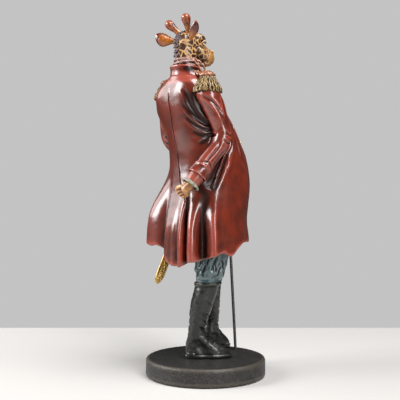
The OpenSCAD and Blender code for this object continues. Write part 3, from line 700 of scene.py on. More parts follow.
def breeches_form(side):
    """A breeches leg that bags over the boot in loose rolls."""
    t = np.radians(np.linspace(0, 360, 130, endpoint=False))
    z = np.arange(101, 189, 0.6)[:, None]
    s = curve(z, BREECHES)
    p = leg_at(side, z[:, 0])[:, None]
    long_half, wide_half = s[..., 0], s[..., 1]
    slant = 9 * np.sin(t - 0.7 * side) + 4 * np.sin(2 * t + 1.1) + 1.5 * np.sin(5 * t)
    roll = np.sin((z + slant) * 2 * math.pi / 11.0) * smoothstep(140 - z, 0, 30) * (0.6 + 0.5 * np.sin(2 * t + side))
    grow = 0.35 * roll * smoothstep(z, 103, 108)
    rings = np.stack([p[..., 0] + (wide_half + grow) * np.cos(t), p[..., 1] + (long_half + grow) * np.sin(t),
                      np.broadcast_to(z, grow.shape)], -1)
    form = loft(rings)
    swell(form, 0.4 * wobble(form.points, 14, 12 + side) + 0.1 * wobble(form.points, 5, 14 + side))
    rng = np.random.default_rng(17)
    creases = []
    for i in range(20):
        heading, low, long = i * 360 / 20 + rng.uniform(-6, 6), rng.uniform(103.5, 122), rng.uniform(10, 24)
        lean = rng.uniform(-40, 60)
        line = []
        for q in (0.0, 0.5, 1.0):
            height = low + long * q
            across, ahead = curve(height, BREECHES)[::-1]
            w = math.radians(heading + lean * q * q)
            line.append(leg_at(side, np.array(height)) + vec(across * math.cos(w), ahead * math.sin(w), 0))
        creases.append((line, rng.uniform(1.0, 1.8), rng.uniform(0.7, 1.3)))
    return press_all(form, creases, 0.5)


for side in (RIGHT, LEFT):
    boot = join(boot_form(side), heel_form(side))
    # Painted shade darkens the welt and heel, the lowest few mm of each boot by the base.
    make_piece("boot_" + NAMES[side], boot, BOOT_PAINT, ["boot_" + NAMES[side]], rounds=16, gain=1.4,
               shade=0.5 * smoothstep(-boot.points[:, 2], -28, -24))
    make_piece("breeches_" + NAMES[side], breeches_form(side), BREECHES_PAINT,
               ["breeches_" + NAMES[side]], rounds=14, gain=1.6)


# ---- Arms -----------------------------------------------------------------------------------------------------

SHOULDER = {side: vec(BODY_X + side * 35, 23, 303) for side in (RIGHT, LEFT)}
ELBOW = {RIGHT: vec(-42, 10, 253), LEFT: vec(43, 17, 257)}
WRIST = {RIGHT: vec(-33, 40, 212), LEFT: vec(49, -34, 232)}
CUFF_H, WRISTLET_H, FRILL_H = 12.0, 5.0, 3.5
FOREARM = {side: unit(WRIST[side] - ELBOW[side]) for side in (RIGHT, LEFT)}
CUFF_LOW = {side: WRIST[side] - FOREARM[side] * CUFF_H for side in (RIGHT, LEFT)}
# Share of the way from shoulder (0) to elbow (1) to cuff (2), and the sleeve's radius there
SLEEVE = [(-0.12, 7), (-0.06, 10.4), (0, 12), (0.25, 11.4), (0.5, 10.2), (0.75, 9.5), (0.95, 9.7), (1.1, 9.5),
          (1.3, 9.0), (1.55, 8.7), (2, 8.8)]


def sleeve_line(side, q):
    """Middle of the sleeve at shares q, rounded at the elbow."""
    a, b, c = SHOULDER[side], ELBOW[side], CUFF_LOW[side]
    rows = [(-0.12, *(a + vec(-side * 2, 0, 5))), (0, *a), (0.5, *(mix(a, b, 0.5) + vec(side * 2, -1, 0))),
            (0.9, *(mix(a, b, 0.93) + vec(0, -0.5, 0))), (1.1, *mix(b, c, 0.14)), (1.5, *mix(b, c, 0.5)), (2, *c)]
    return curve(q, rows)


def sleeve_point(side, q, t, grow=0.0):
    """Points of a sleeve at shares q, and angles t from the outer side towards the front."""
    q, t = np.broadcast_arrays(np.asarray(q, float), np.radians(np.asarray(t, float)))
    way = unit(sleeve_line(side, q + 0.01) - sleeve_line(side, q - 0.01))
    front = unit(np.cross(vec(side, 0, 0), way)) * side
    out = np.cross(way, front)
    outward = np.where(out[..., :1] * side > 0, 1.0, -1.0)
    forward = np.where(front[..., 1:2] + front[..., 2:] * 0.3 < 0, 1.0, -1.0)
    r = curve(q, SLEEVE)[..., None] + grow
    return sleeve_line(side, q) + r * (np.cos(t)[..., None] * out * outward + np.sin(t)[..., None] * front * forward)


# Creases of a sleeve as points (share, angle from outside towards the front), with a width and a depth
SLEEVE_LINES = [
    ([(0.74, 100), (0.82, 150), (0.86, 200), (0.84, 250)], 1.4, 1.3),
    ([(0.98, 90), (0.98, 140), (0.99, 190), (0.96, 240), (0.9, 280)], 1.5, 1.6),
    ([(1.12, 80), (1.08, 130), (1.06, 180), (1.06, 230)], 1.4, 1.4),
    ([(0.6, 60), (0.7, 110), (0.74, 160), (0.72, 210)], 1.5, 1.0),
    ([(1.3, 90), (1.2, 140), (1.16, 190)], 1.4, 1.0),
    ([(0.84, -20), (0.9, 20), (0.86, 60)], 1.3, 0.7), ([(1.02, -30), (1.06, 10), (1.02, 50)], 1.2, 0.7),
    ([(0.1, -70), (0.24, -40), (0.42, -20), (0.6, -8)], 1.9, 0.9),
    ([(0.08, 60), (0.25, 40), (0.45, 24), (0.62, 20)], 1.9, 0.9),
    ([(0.14, 170), (0.3, 190), (0.5, 200)], 1.8, 1.0), ([(1.12, -34), (1.4, -26), (1.7, -34), (1.95, -30)], 1.5, 0.8),
    ([(1.2, 26), (1.5, 34), (1.8, 26)], 1.6, 0.7), ([(1.9, 90), (1.84, 140), (1.88, 190)], 1.3, 0.7),
    ([(1.88, -60), (1.8, -10), (1.86, 40)], 1.2, 0.6),
    ([(0.2, 110), (0.36, 120), (0.55, 128)], 1.8, 0.8)]


def sleeve_form(side):
    t = np.linspace(0, 360, 120, endpoint=False) * side
    q = np.concatenate([np.linspace(-0.12, 1, 130), np.linspace(1.005, 2, 90)])
    rings = sleeve_point(side, q[:, None], t[None])
    a, b = rings[60, 0] - rings[60].mean(0), rings[60, 1] - rings[60].mean(0)
    if np.dot(np.cross(a, b), rings[61].mean(0) - rings[60].mean(0)) < 0:
        rings = rings[:, ::-1]
    form = loft(rings)
    swell(form, 0.28 * wobble(form.points, 18, 20 + side) + 0.05 * wobble(form.points, 7, 22 + side))
    return press_all(form, [(sleeve_point(side, *np.array(line).T), width, depth)
                            for line, width, depth in SLEEVE_LINES])


def on_forearm(side, profile, sides=120, wave=0.0, waves=0, lean=0.0):
    """Turned shape round the forearm's line; rows are (radius, distance past the cuff's upper edge)."""
    t = np.linspace(0, 2 * math.pi, sides, endpoint=False)
    way = FOREARM[side]
    across = unit(np.cross(vec(0, 0, 1), way))
    over = np.cross(way, across)
    rings = []
    for row, (radius, along) in enumerate(profile):
        r = radius + wave * np.sin(waves * t) * row / len(profile)
        step = along + lean * np.cos(t)
        rings.append(CUFF_LOW[side] + r[:, None] * (np.cos(t)[:, None] * across + np.sin(t)[:, None] * over)
                     + step[:, None] * way)
    return rings


for side in (RIGHT, LEFT):
    name = NAMES[side]
    make_piece("sleeve_" + name, sleeve_form(side), COAT_PAINT, ["sleeve_" + name], rounds=24, gain=1.0)
    turned = on_forearm(side, [(8.2, -2.4), (9.0, -3.2), (9.7, -3.1), (9.9, -2.2), (9.5, -1.4), (9.7, 2), (10.0, 5),
                               (10.3, 7), (10.5, 8), (10.1, 8.8), (9.3, 8.6), (8.7, 7.6), (8.2, 6)])
    # A little painted shade darkens the whole cuff.
    make_piece("cuff_" + name, loft(turned), COAT_PAINT, ["cuff_" + name], gain=0.8, shade=0.1)
    sleeve_end = on_forearm(side, [(7.4, 6), (7.9, 8), (8.3, 9.4), (7.7, 10.6), (8.1, 12), (7.5, 13.4), (7.8, 15),
                                   (7.2, 16.4), (7.4, 17.4), (6.4, 18)], wave=0.25, waves=9)
    make_piece("wristlet_" + name, loft(sleeve_end), UNDERSLEEVE_PAINT, ["wristlet_" + name],
               gain=0.9)
    frill = on_forearm(side, [(6.2, 16), (7.2, 16.8), (7.8, 17.8), (8.6, 18.8), (9.6, 20.0), (9.8, 20.7), (9.2, 20.8),
                              (8.0, 19.8), (6.8, 18.8), (5.6, 18.2)], sides=180, wave=1.5, waves=11, lean=0.5)
    # A little painted shade darkens the whole frill.
    make_piece("frill_" + name, loft(frill), FRILL_PAINT, ["frill_" + name], rounds=16, gain=3.0,
               shade=0.08)


# ---- Hands ----------------------------------------------------------------------------------------------------

CANE_FOOT, CANE_TOP = vec(5, -48, 11), vec(27, -53, 214)
CANE_WAY = unit(CANE_TOP - CANE_FOOT)
PALM_START = {side: WRIST[side] + FOREARM[side] * (WRISTLET_H + FRILL_H - 2) for side in (RIGHT, LEFT)}
# Lengths of the four fingers beside the middle finger's usual one
FINGER_LENGTHS = (0.95, 1.05, 1.0, 0.8)


def right_hand():
    """The hand resting behind the back with its fingers loosely curled towards the seam."""
    palm = vec(-27, 47.6, 200.6)
    parts = [bar([PALM_START[RIGHT], mix(PALM_START[RIGHT], palm, 0.6), palm], [4.6, 5.0, 5.2], 24, (1, 0, 0))]
    for i, length in enumerate(FINGER_LENGTHS):
        knuckle = palm + vec(3.5, 2.5 - i * 2.2, 3 - i * 2.8)
        parts.append(bar([palm + vec(-1, 0, 1 - i), knuckle, knuckle + vec(4.4, 1.2, -0.8) * length,
                          knuckle + vec(8.0, 1.0, -2.6) * length], [3.2, 2.3, 2.1, 1.7], 16))
    parts.append(bar([palm + vec(-1, -2, 2), palm + vec(1, -2.4, 6), palm + vec(5.4, -2.6, 7.6)], [3.2, 2.4, 1.9], 16))
    return fuse(join(*parts), 0.4, 4)


def left_hand():
    """The hand closed round the top of the cane."""
    grip = mix(CANE_FOOT, CANE_TOP, 0.965)
    palm = grip + vec(7, 3, 0.5)
    parts = [bar([PALM_START[LEFT], mix(PALM_START[LEFT], palm, 0.6), palm], [4.6, 5.2, 5.2], 24, (0, 1, 0))]
    for i in range(len(FINGER_LENGTHS)):
        row = vec(0, 0, 4.6 - i * 3.3)
        parts.append(bar([palm + row * 0.7, grip + row + vec(4.5, -4, 0), grip + row + vec(-2, -4.4, 0),
                          grip + row + vec(-3.8, -0.6, 0)], [3.2, 2.3, 2.1, 1.8], 16))
    parts.append(bar([palm, grip + vec(2, 4, 4), grip + vec(-3, 2, 5)], [3.6, 2.6, 2.1], 16))
    return fuse(join(*parts), 0.4, 4)


make_piece("hand_right", right_hand(), HAND_PAINT, ["hand_right"], rounds=10, gain=2.4)
make_piece("hand_left", left_hand(), HAND_PAINT, ["hand_left"], rounds=10, gain=2.4)


# ---- Epaulettes and cord --------------------------------------------------------------------------------------

# Strands in the outer row, and how many degrees they go round to each side of straight outward
FRINGE_STRANDS, FRINGE_REACH = 17, 118
# Middle of an epaulette: how far out from the body's line, and its place from front to back
SHOULDER_OUT, SHOULDER_Y = 35, 23
# Distance out from the middle of the shoulder, and height, down a strand of the fringe
FRINGE = [(4.4, 319.6), (7.0, 317.4), (9.8, 313), (12.2, 308.4), (13.8, 304.6), (14.5, 302.0)]
# A strap's ropes: distance out from the body's line, spread between them, and height
STRAP = [(14.5, 0.8, 327.4), (18.5, 1, 324.4), (23, 1, 322.4), (28.5, 1.1, 321.3), (32, 0.7, 321.6)]


def fringe_point(side, a, out, z):
    a = math.radians(a)
    return vec(BODY_X + side * (SHOULDER_OUT + out * math.cos(a)), SHOULDER_Y + out * math.sin(a), z)


def fringe_form(side):
    """Bullion fringe: fat twisted strands in a bell that is open towards the neck, over an inner row that is left in
    painted shade.
    """
    rng = np.random.default_rng(5)
    strands = []
    for row, (count, inset, size) in enumerate(((FRINGE_STRANDS, 0.0, 1.0), (FRINGE_STRANDS - 1, 2.4, 0.9))):
        for i in range(count):
            a = mix(-FRINGE_REACH, FRINGE_REACH, (i + 0.5) / count) + rng.uniform(-1.5, 1.5)
            drop = rng.uniform(-0.7, 0.5)
            sway = rng.uniform(-3.5, 3.5)
            path = [fringe_point(side, a + sway * (319.6 - z) / 18, max(out - inset, 3),
                                 z + drop * (319.3 - z) / 18 + row * 0.2) for out, z in FRINGE]
            radii = np.array([0.8, 1.05, 1.3, 1.5, 1.65, 1.5]) * size * rng.uniform(0.9, 1.1)
            a = math.radians(a)
            strands.append(bar(path, radii, 18, (side * math.cos(a), math.sin(a), 0.0), 7, lobes=2, depth=0.16,
                               twist=0.9 * (-1) ** i))
    return join(*strands)


def fringe_painted_shade(side, points):
    """Painted shade: darker paint between the strands and on the inner row, where shade falls, with the strands'
    crests spared and a touch lighter.
    """
    heights, reach = np.array(FRINGE)[::-1, 1], np.array(FRINGE)[::-1, 0]
    from_middle = np.hypot(points[:, 0] - BODY_X - side * SHOULDER_OUT, points[:, 1] - SHOULDER_Y)
    stands = from_middle - np.interp(points[:, 2], heights, reach)
    return 0.7 * smoothstep(-stands, -1.6, -0.5) - 0.08


def rope(points, radius, steps=12):
    """Two-ply twisted cord."""
    return bar(points, radius, 14, (0.3, 0.2, 1.0), steps, lobes=2, depth=0.22, twist=1.5 / radius)


for side in (RIGHT, LEFT):
    name = NAMES[side]
    fringe = fringe_form(side)
    make_piece("epaulette_fringe_" + name, fringe, GOLD_PAINT, ["epaulette_fringe_" + name],
               rounds=8, gain=1.6, shade=fringe_painted_shade(side, fringe.points))
    pad = ball(vec(BODY_X + side * 35.6, SHOULDER_Y, 319.6), (7.4, 6.4, 4.4), sides=48)
    swell(pad, 0.35 * wobble(pad.points, 5, 31))
    ring = [fringe_point(side, a, 7.2, 319.4 + 0.3 * math.sin(a)) for a in range(-130, 131, 20)]
    make_piece("epaulette_pad_" + name, pad, COPPER_PAINT, ["epaulette_board_" + name])
    make_piece("epaulette_ring_" + name, rope(ring, 1.2), COPPER_PAINT)
    strap = [rope([(BODY_X + side * out, SHOULDER_Y + off * spread, z) for out, spread, z in STRAP], 1.25)
             for off in (-3.2, -1.1, 1.1, 3.2)]
    make_piece("epaulette_strap_" + name, join(*strap), COPPER_PAINT, ["epaulette_strap_" + name])


# ---- Neckcloth ------------------------------------------------------------------------------------------------

def neckcloth_form():
    """A cloth wound round the neck in soft slanting rolls."""
    t = np.linspace(0, 2 * math.pi, 160, endpoint=False)
    rings = []
    for z in np.arange(322.4, 341.6, 0.35):
        plain = curve(z, [(322, 13), (330, 13.4), (336, 13.2), (339.5, 12.4), (341.6, 10.8)])
        roll = 0.6 * np.sin((z + 1.6 * np.sin(t + 0.6)) * 2 * math.pi / 4.6) * smoothstep(z, 326, 331)
        rings.append(np.stack([BODY_X + (plain + roll) * np.cos(t), NECK_Y + (plain + roll) * np.sin(t),
                               np.full_like(t, z)], -1))
    form = loft(rings)
    return swell(form, 0.25 * wobble(form.points, 5, 40))


make_piece("neckcloth", neckcloth_form(), CLOTH_PAINT, ["neckcloth"], rounds=12, gain=1.8)

# Gilt cord from the neckcloth over the collar to the right shoulder, with a loop hanging in front of it
neck_cord = [rope([(-8.6, 26.5, 340), (-10.6, 21.5, 335.6), (-12.6, 17.5, 329.6), (-17.5, 18.6, 325.6),
                   (-24, 20.3, 322.6)], 1.3, 16),
             rope([(-7.4, 23, 341), (-11.2, 17.5, 337.5), (-13.6, 13.0, 332), (-14.2, 12.4, 327),
                   (-19, 15.5, 323)], 1.2, 16)]
make_piece("neck_cord", join(*neck_cord), COPPER_PAINT, rounds=6)


# ---- Head -----------------------------------------------------------------------------------------------------

# Folds and mouth as points (distance out from the middle, place from front to back, height), width and depth
FACE_LINES = [
    ([(6.4, -0.5, 353.4), (8.6, 1.2, 350.2), (9.4, 2.0, 346), (8.6, 1.6, 341.6), (5.6, 0.6, 338.4)], 0.8, 1.7),
    ([(7.6, -4.0, 339.2), (6.0, -9.0, 340.0), (2.4, -12.6, 341.0), (0, -13.2, 341.4)], 0.7, 1.3),
    ([(3.6, -10.6, 353.6), (5.0, -8.6, 352.4), (5.6, -6.6, 351.0)], 0.8, 1.4),
    ([(8.4, 10.6, 356.6), (9.6, 7.0, 355.4), (8.8, 3.0, 356.2)], 0.6, 0.8),
    ([(6.8, 3.0, 358.4), (7.4, 0, 354.6), (7.6, -1, 351.6)], 1.0, 0.9),
    ([(10.5, 17, 344), (9.4, 12, 341.5), (7, 8, 340)], 1.0, 0.7),
]
EYE_RADIUS = 2.3


def head_form():
    """Skull, muzzle, cheeks, brows and lips blended as clay, then scored with the mouth and folds."""
    parts = [lathe([(10.6, 338), (11.2, 341), (11.8, 346), (11.6, 352)], 48, (BODY_X, NECK_Y, 0)),
             ball(SKULL, 12.5, sides=40)]
    face = [(0, 0, 0, 12.2), (0, -9.5, 0, 10.3), (0, -18.5, -4.8, 8.1), (0, -25, -8.8, 7.8)]
    parts.append(bar([SKULL + vec(*f[:3]) for f in face], [f[3] for f in face], 36, (1, 0, 0)))
    parts.append(ball(SKULL + vec(0, -28.5, -11.0), (8.4, 7.0, 8.6), 24))
    for side in (RIGHT, LEFT):
        parts += [bar([SKULL + vec(side * 4.2, -6, 8.6), SKULL + vec(side * 6.8, -13, 7.6),
                       SKULL + vec(side * 7.0, -18.5, 5.8)], [3.2, 3.8, 3.2], 20),
                  bar([SKULL + vec(side * 7, -12, -7), SKULL + vec(side * 5.6, -20, -12.5)], [5.1, 4.6], 20),
                  ball(SKULL + vec(side * 3.9, -31.5, -6.0), (2.9, 3.2, 2.8)),
                  ball(SKULL + vec(side * 4.4, -28.5, -13.2), (5.0, 6.6, 7.4)),
                  ball(SKULL + vec(side * 3.2, -26.5, -19.0), (4.2, 5.2, 3.2))]
    form = fuse(join(*parts), 0.5, 7)
    lines = [([(BODY_X + side * out, y, z) for out, y, z in line], width, depth)
             for side in (RIGHT, LEFT) for line, width, depth in FACE_LINES]
    press_all(form, lines)
    return swell(form, 0.16 * wobble(form.points, 4, 50))


make_piece("head", head_form(), HIDE_PAINT, ["head"], rounds=10, gain=1.3)

for side in (RIGHT, LEFT):
    name = NAMES[side]
    centre = vec(BODY_X + side * 9.0, 7.0, 359.4)
    make_piece("eye_" + name, ball(centre, EYE_RADIUS), EYE_PAINT, ["eye_" + name])
    lids = [bar([centre + vec(side * 0.6, 3.0, 0.2), centre + vec(side * 1.6, 0.6, 1.9 * up),
                 centre + vec(side * 0.5, -2.8, 0.4)], [0.5, 0.75, 0.5], 14) for up in (1, -1)]
    make_piece("eyelids_" + name, join(*lids), HIDE_PAINT, rounds=6)


TUFT_ROWS = 15


def mane_form():
    """Stiff tufts in a ragged strip down the back of the head."""
    rng = np.random.default_rng(9)
    tufts = []
    for t in np.linspace(0, 1, TUFT_ROWS):
        a = math.radians(mix(-2, 112, t))
        root = SKULL + 10.8 * vec(0, math.sin(a), math.cos(a))
        if a > math.pi / 2:
            root = SKULL + vec(0, 10.8 + 0.6 * (t - 0.7), -(t - 0.79) * 62)
        out = vec(0, max(math.sin(a), 0.3), math.cos(a) * 0.8 - 0.25)
        for sway in (-2.6, -0.9, 0.9, 2.6):
            slant = vec(sway + rng.uniform(-0.5, 0.5), rng.uniform(-0.4, 0.4), rng.uniform(-0.6, 0.6))
            length = rng.uniform(3.4, 4.6) * (1 - 0.12 * abs(sway))
            tufts.append(bar([root + slant * 0.8, root + slant + out * length * 0.6,
                              root + slant * 1.1 + out * length + vec(0, 0, -0.9)], [1.5, 1.35, 0.6], 10,
                             (1, 0, 0), 4))
    return join(*tufts)


make_piece("mane", mane_form(), MANE_PAINT, ["mane"], rounds=6, gain=1.4)

EAR_BASE = {RIGHT: vec(-8, 27, 360), LEFT: vec(16, 32, 361.5)}
EAR_TIP = {RIGHT: vec(-22, 30, 377), LEFT: vec(31, 45, 369)}
EAR_WIDTH = {RIGHT: 0.8, LEFT: 1.2}
# How far the middle of an ear bows towards its lower edge
EAR_BOW = {RIGHT: 0.5, LEFT: -2.0}
# How much sooner an ear turns red-brown towards its tip
EAR_RUDDY = {RIGHT: 0.2, LEFT: 0.0}
# Way that the rounded back of each ear faces
EAR_BACK = {RIGHT: vec(-0.8, 0.7, 0.0), LEFT: vec(-0.5, 0.9, 0.1)}


def ear_form(side):
    """Leaf-shaped ear, hollowed on its front."""
    root, end = EAR_BASE[side], EAR_TIP[side]
    way = unit(end - root)
    face = unit(np.cross(way, EAR_BACK[side]))
    thin = np.cross(face, way)
    thin *= -1 if thin[1] < 0 else 1
    length = np.linalg.norm(end - root)
    t = np.linspace(0, 2 * math.pi, 56, endpoint=False)
    rings, shares = [], np.linspace(-0.1, 1.0, 46)
    for q in shares:
        half = curve(q, [(-0.1, 2.2), (0.1, 3.0), (0.3, 4.8), (0.5, 5.9), (0.66, 5.8), (0.82, 4.5), (0.94, 2.5),
                         (1.0, 0.9)])
        half = half * EAR_WIDTH[side]
        thick = curve(q, [(-0.1, 2.0), (0.15, 2.6), (0.5, 3.0), (0.8, 2.4), (1.0, 0.8)])
        across, deep = half * np.cos(t), thick * np.sin(t)
        hollow = 2.4 * smoothstep(-np.sin(t), 0.1, 0.9) * bump(np.cos(t), 0.62)
        hollow = hollow * smoothstep(q, 0.12, 0.3) * smoothstep(-q, -0.97, -0.7)
        curl = 0.04 * across ** 2
        rings.append(root + way * q * length + (across + EAR_BOW[side] * math.sin(math.pi * max(q, 0)))[:, None] * face
                     + (deep + hollow - curl)[:, None] * thin)
    rings = np.array(rings)
    a, b = rings[20, 0] - rings[20].mean(0), rings[20, 1] - rings[20].mean(0)
    if np.dot(np.cross(a, b), way) < 0:
        rings = rings[:, ::-1]
    form = loft(rings)
    edges = np.abs(np.cos(t)) ** 4
    tips = np.concatenate([(shares[:, None] * 0.8 + 0.3 * edges).reshape(-1), [shares[0], shares[-1]]])
    tips = tips + EAR_RUDDY[side]
    swell(form, 0.15 * wobble(form.points, 4, 60))
    return form, tips


HORN_BASE = {RIGHT: vec(-2.5, 24, 366), LEFT: vec(8.5, 24, 366)}
HORN_TIP = {RIGHT: vec(-7, 32.5, 383.4), LEFT: vec(20, 35, 380.5)}


def horn_form(side):
    """Ossicone: a stalk that swells into a blunt club."""
    root, end = HORN_BASE[side], HORN_TIP[side]
    shares = np.array([-0.1, 0.15, 0.35, 0.55, 0.75, 0.9, 1.0])
    radii = [4.2, 3.5, 3.2, 3.4, 4.3, 4.8, 4.6]
    form = bar([mix(root, end, q) for q in shares], radii, 40, (1, 0.3, 0), 8)
    tips = (form.points - root) @ (end - root) / ((end - root) @ (end - root))
    swell(form, 0.22 * wobble(form.points, 5, 64))
    return form, tips


for side in (RIGHT, LEFT):
    name = NAMES[side]
    for kind, (form, tips) in (("ear_", ear_form(side)), ("ossicone_", horn_form(side))):
        make_piece(kind + name, form, HORN_PAINT, [kind + name], rounds=10, gain=1.4, tip=tips)


# ---- Base -----------------------------------------------------------------------------------------------------

def base_form():
    """Cast round base with a worn upper edge and a faintly uneven side."""
    rows = [(64.4, 1.0), (64.9, 1.6), (65, 3)] + [(65, z) for z in np.arange(4, 16.4, 0.8)]
    rows += [(64.9, 17.2), (64.5, 18.2), (63.8, 19.0), (62.8, 19.4)]
    rows += [(r, BASE_TOP) for r in np.arange(61.6, 1, -1.2)]
    form = lathe(rows, 260)
    side = smoothstep(np.hypot(form.points[:, 0], form.points[:, 1]), 61, 63)
    swell(form, -np.abs(0.22 * wobble(form.points, 6, 70) + 0.12 * wobble(form.points, 2.6, 71)) * side
          + 0.05 * wobble(form.points, 8, 72) * (1 - side) - 0.05)
    return form


make_piece("base", base_form(), BASE_PAINT, ["base_disc"], rounds=6, gain=1.4)
felt = lathe([(60, 0.05), (61.4, 0.1), (61.9, 0.4), (61.6, 0.9), (60.5, 0.98)], 160)
make_piece("base_felt_pad", felt, FELT, ["base_felt"])


# ---- Cane and sabre -------------------------------------------------------------------------------------------

CANE_RADIUS, KNOB_RADIUS = 1.6, 4.5
cane = bar([mix(CANE_FOOT, CANE_TOP, q) for q in (0.0, 0.25, 0.5, 0.75, 1.0)], CANE_RADIUS, 24, (1, 0, 0), 12)
make_piece("cane", cane, CANE_PAINT, ["cane_shaft"])
knob = [ball(CANE_TOP, KNOB_RADIUS, sides=40),
        bar([CANE_TOP - CANE_WAY * 6, CANE_TOP - CANE_WAY * 4.6], [2.3, 2.7], 24, (1, 0, 0))]
make_piece("cane_fittings", join(*knob), BRIGHT_GOLD_PAINT, ["cane_knob"], rounds=6)

SCABBARD_TIP, SCABBARD_TOP = vec(37, 38.5, 99), vec(37.5, -6.4, 189.5)
SABRE_WAY = unit(SCABBARD_TOP - SCABBARD_TIP)


def scabbard_at(q, out=0.0, deep=0.0):
    """Point on the scabbard's line; out is across it towards the left, and deep towards the back."""
    back = unit(np.cross(SABRE_WAY, vec(1, 0, 0)))
    return mix(SCABBARD_TIP, SCABBARD_TOP, q) + vec(out, 0, 0) + back * deep


sheath = bar([scabbard_at(q) for q in (0.3, 0.6, 1.0)], [4.1, 4.2, 4.3], 40, (1, 0, 0), 14, flat=0.55)
make_piece("scabbard", sheath, CANE_PAINT, ["scabbard"])


def chape_form():
    """Gilt mount on the scabbard's end, with a rim, scrolls and bands in relief."""
    body = bar([scabbard_at(q) for q in (0.012, 0.05, 0.15, 0.28, 0.4)], [2.6, 3.9, 4.3, 4.5, 4.6], 44, (1, 0, 0), 16,
               flat=0.62)
    parts = [body]
    for face in (-1, 1):
        for i in range(7):
            q, turn_way = 0.035 + i * 0.05, (-1) ** i
            loop = [scabbard_at(q + 0.02 * math.sin(w) * 1.1, face * 2.7,
                                turn_way * (0.9 + 1.9 * math.cos(w) * (1 - w / 14))) for w in np.linspace(0, 5.4, 9)]
            parts.append(bar(loop, [0.85, 0.9, 0.9, 0.9, 0.85, 0.8, 0.8, 0.9, 1.0], 10, (1, 0, 0), 4))
    for edge in (-1, 1):
        parts.append(bar([scabbard_at(q, 0, edge * curve(q, [(0.0, 1.0), (0.05, 3.6), (0.2, 4.4), (0.4, 4.7)]))
                          for q in (0.01, 0.05, 0.12, 0.2, 0.3, 0.4)], 1.0, 14, (1, 0, 0), 8))
    for q in (0.385, 0.4):
        rim = [scabbard_at(q, 3.1 * math.cos(w), 5.0 * math.sin(w)) for w in np.linspace(0, 2 * math.pi, 25)]
        parts.append(bar(rim, 0.9, 12, SABRE_WAY, 3))
    parts.append(ball(scabbard_at(0.01), 2.0))
    return join(*parts)


make_piece("scabbard_mount", chape_form(), BRIGHT_GOLD_PAINT, ["scabbard_chape"], rounds=8, gain=2.2)

HILT_LOW, HILT_TOP = vec(50.5, -14, 201), vec(52.5, -22, 221)
hilt = [bar([HILT_LOW, mix(HILT_LOW, HILT_TOP, 0.5) + vec(0, 0.6, 0), HILT_TOP], [1.7, 2.2, 1.9], 18, (1, 0, 0), 14,
            lobes=1, depth=0.12, twist=3.2),
        ball(HILT_TOP + vec(0, -0.5, 1), 2.6),
        bar([HILT_LOW + vec(0, 4.4, -1.0), HILT_LOW, HILT_LOW + vec(0, -6, 1), HILT_LOW + vec(0.4, -9.0, 8),
             HILT_TOP + vec(0, -3.5, 0.5)], [1.1, 1.6, 1.1, 0.9, 1.0], 14, (1, 0, 0), 10)]
make_piece("hilt", join(*hilt), BRIGHT_GOLD_PAINT, ["sabre_hilt"], rounds=6)


# ---- Buttons --------------------------------------------------------------------------------------------------

def button_form(at, out, radius):
    """Domed button with a rim, standing on a surface."""
    way = unit(out)
    across = unit(np.cross(way, vec(0.13, 0.2, 1)))
    over = np.cross(way, across)
    t = np.linspace(0, 2 * math.pi, 32, endpoint=False)
    rows = [(0.98, -0.6), (1.0, 0.2), (1.0, 0.55), (0.9, 0.75), (0.78, 0.62), (0.7, 0.8), (0.5, 1.05), (0.25, 1.2),
            (0.06, 1.24)]
    rings = [at + way * h + radius * r * (np.cos(t)[:, None] * across + np.sin(t)[:, None] * over) for r, h in rows]
    return loft(rings)


# Buttons in each of the two rows, their radius, and where a row starts and ends: angle from the middle, height
BUTTON_COUNT, BUTTON_RADIUS = 6, 2.6
ROW_START, ROW_END = (26, 206), (34, 284)

buttons = []
for side in (RIGHT, LEFT):
    for i in range(BUTTON_COUNT):
        away, z = (mix(start, end, i / (BUTTON_COUNT - 1)) for start, end in zip(ROW_START, ROW_END))
        at = coat_point(180 + side * away, z)
        buttons.append(button_form(at, coat_point(180 + side * away, z, 1.0) - at, BUTTON_RADIUS))
make_piece("buttons", join(*buttons), BUTTON_PAINT, ["coat_buttons"], rounds=4)

for node in ("leg_rod_right", "leg_rod_left", "neck_peg"):
    rod = bpy.data.objects[node]
    rod.data.materials.clear()
    rod.data.materials.append(STEEL)


# ---- Floor, lights and camera -------------------------------------------------------------------------------

# The camera stands level with the middle of the figure, behind its right shoulder
VIEW = vec(0.788, -0.616, 0.0)
ASIDE = vec(0.616, 0.788, 0.0)
EYE = vec(-0.6273, 0.4981, 0.190)
LENS_MM = 66.06


def plain(name, code, roughness):
    """Plain matt finish for what the figure stands on."""
    material = bpy.data.materials.new(name)
    material.use_nodes = True
    shader = material.node_tree.nodes["Principled BSDF"]
    shader.inputs["Base Color"].default_value = colour(code)
    shader.inputs["Roughness"].default_value = roughness
    return material


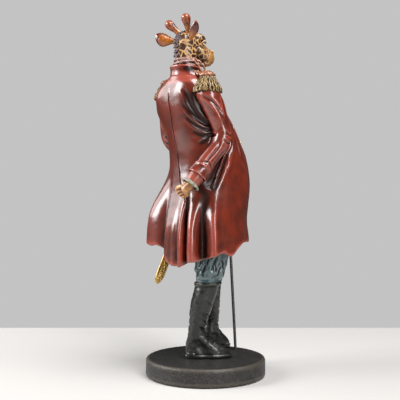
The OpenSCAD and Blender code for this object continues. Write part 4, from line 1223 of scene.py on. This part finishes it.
# The floor ends a little behind the figure, where the pale backdrop of the world begins
FLOOR_NEAR, FLOOR_FAR, FLOOR_SIDE = -0.95, 0.29, 1.6
corners = [VIEW * ahead + ASIDE * FLOOR_SIDE * side for ahead, side in
           ((FLOOR_NEAR, -1), (FLOOR_NEAR, 1), (FLOOR_FAR, 1), (FLOOR_FAR, -1))]
floor_mesh = bpy.data.meshes.new("floor")
floor_mesh.from_pydata([tuple(c) for c in corners], [], [(0, 3, 2, 1)])
floor_mesh.materials.append(plain("floor_matt", "#b4b2af", 0.7))
floor = bpy.data.objects.new("floor", floor_mesh)
bpy.context.scene.collection.objects.link(floor)


# Height of the point that the lights look at, about the figure's middle
LIT_HEIGHT = 0.22


def softbox(name, heading, height, distance, size, power, tall=None):
    """White soft light; heading is the angle from the figure's back seam towards its right."""
    lamp = bpy.data.lights.new(name, "AREA")
    lamp.shape = "RECTANGLE"
    lamp.size, lamp.size_y = size, tall or size
    lamp.energy = power
    light = bpy.data.objects.new(name, lamp)
    h, e = math.radians(heading), math.radians(height)
    away = Vector((-math.sin(h) * math.cos(e), math.cos(h) * math.cos(e), math.sin(e)))
    light.location = Vector((0, 0, LIT_HEIGHT)) + away * distance
    light.rotation_euler = away.to_track_quat("Z", "Y").to_euler()
    bpy.context.scene.collection.objects.link(light)


softbox("window", -26, 24, 1.6, 0.6, 22, tall=0.9)
softbox("window_glow", -44, 26, 1.62, 1.8, 24, tall=1.0)
softbox("side", 79, 14, 1.6, 0.34, 15, tall=0.9)
softbox("overhead", 96, 62, 1.6, 1.1, 46)

# Pale grey of the backdrop, and how bright it is as a light beside how it looks
BACKDROP, ROOM_LIGHT = "#c3c3c3", 0.12
world = bpy.data.worlds.new("pale_backdrop")
world.use_nodes = True
sky = world.node_tree
wall = sky.nodes["Background"]
wall.inputs["Color"].default_value = colour(BACKDROP)
wall.inputs["Strength"].default_value = 1.0
room = add(sky, "Background", {"Color": BACKDROP, "Strength": ROOM_LIGHT})
seen = add(sky, "LightPath", {}, "Is Camera Ray")
both = add(sky, "MixShader", {0: seen, 1: room, 2: wall.outputs[0]})
sky.links.new(both, sky.nodes["World Output"].inputs["Surface"])
bpy.context.scene.world = world
bpy.context.scene.view_settings.view_transform = "Standard"

lens = bpy.data.cameras.new("camera")
lens.lens = LENS_MM
camera = bpy.data.objects.new("camera", lens)
camera.location = Vector(EYE)
camera.rotation_euler = Vector(VIEW).to_track_quat("-Z", "Y").to_euler()
bpy.context.scene.collection.objects.link(camera)
bpy.context.scene.camera = camera
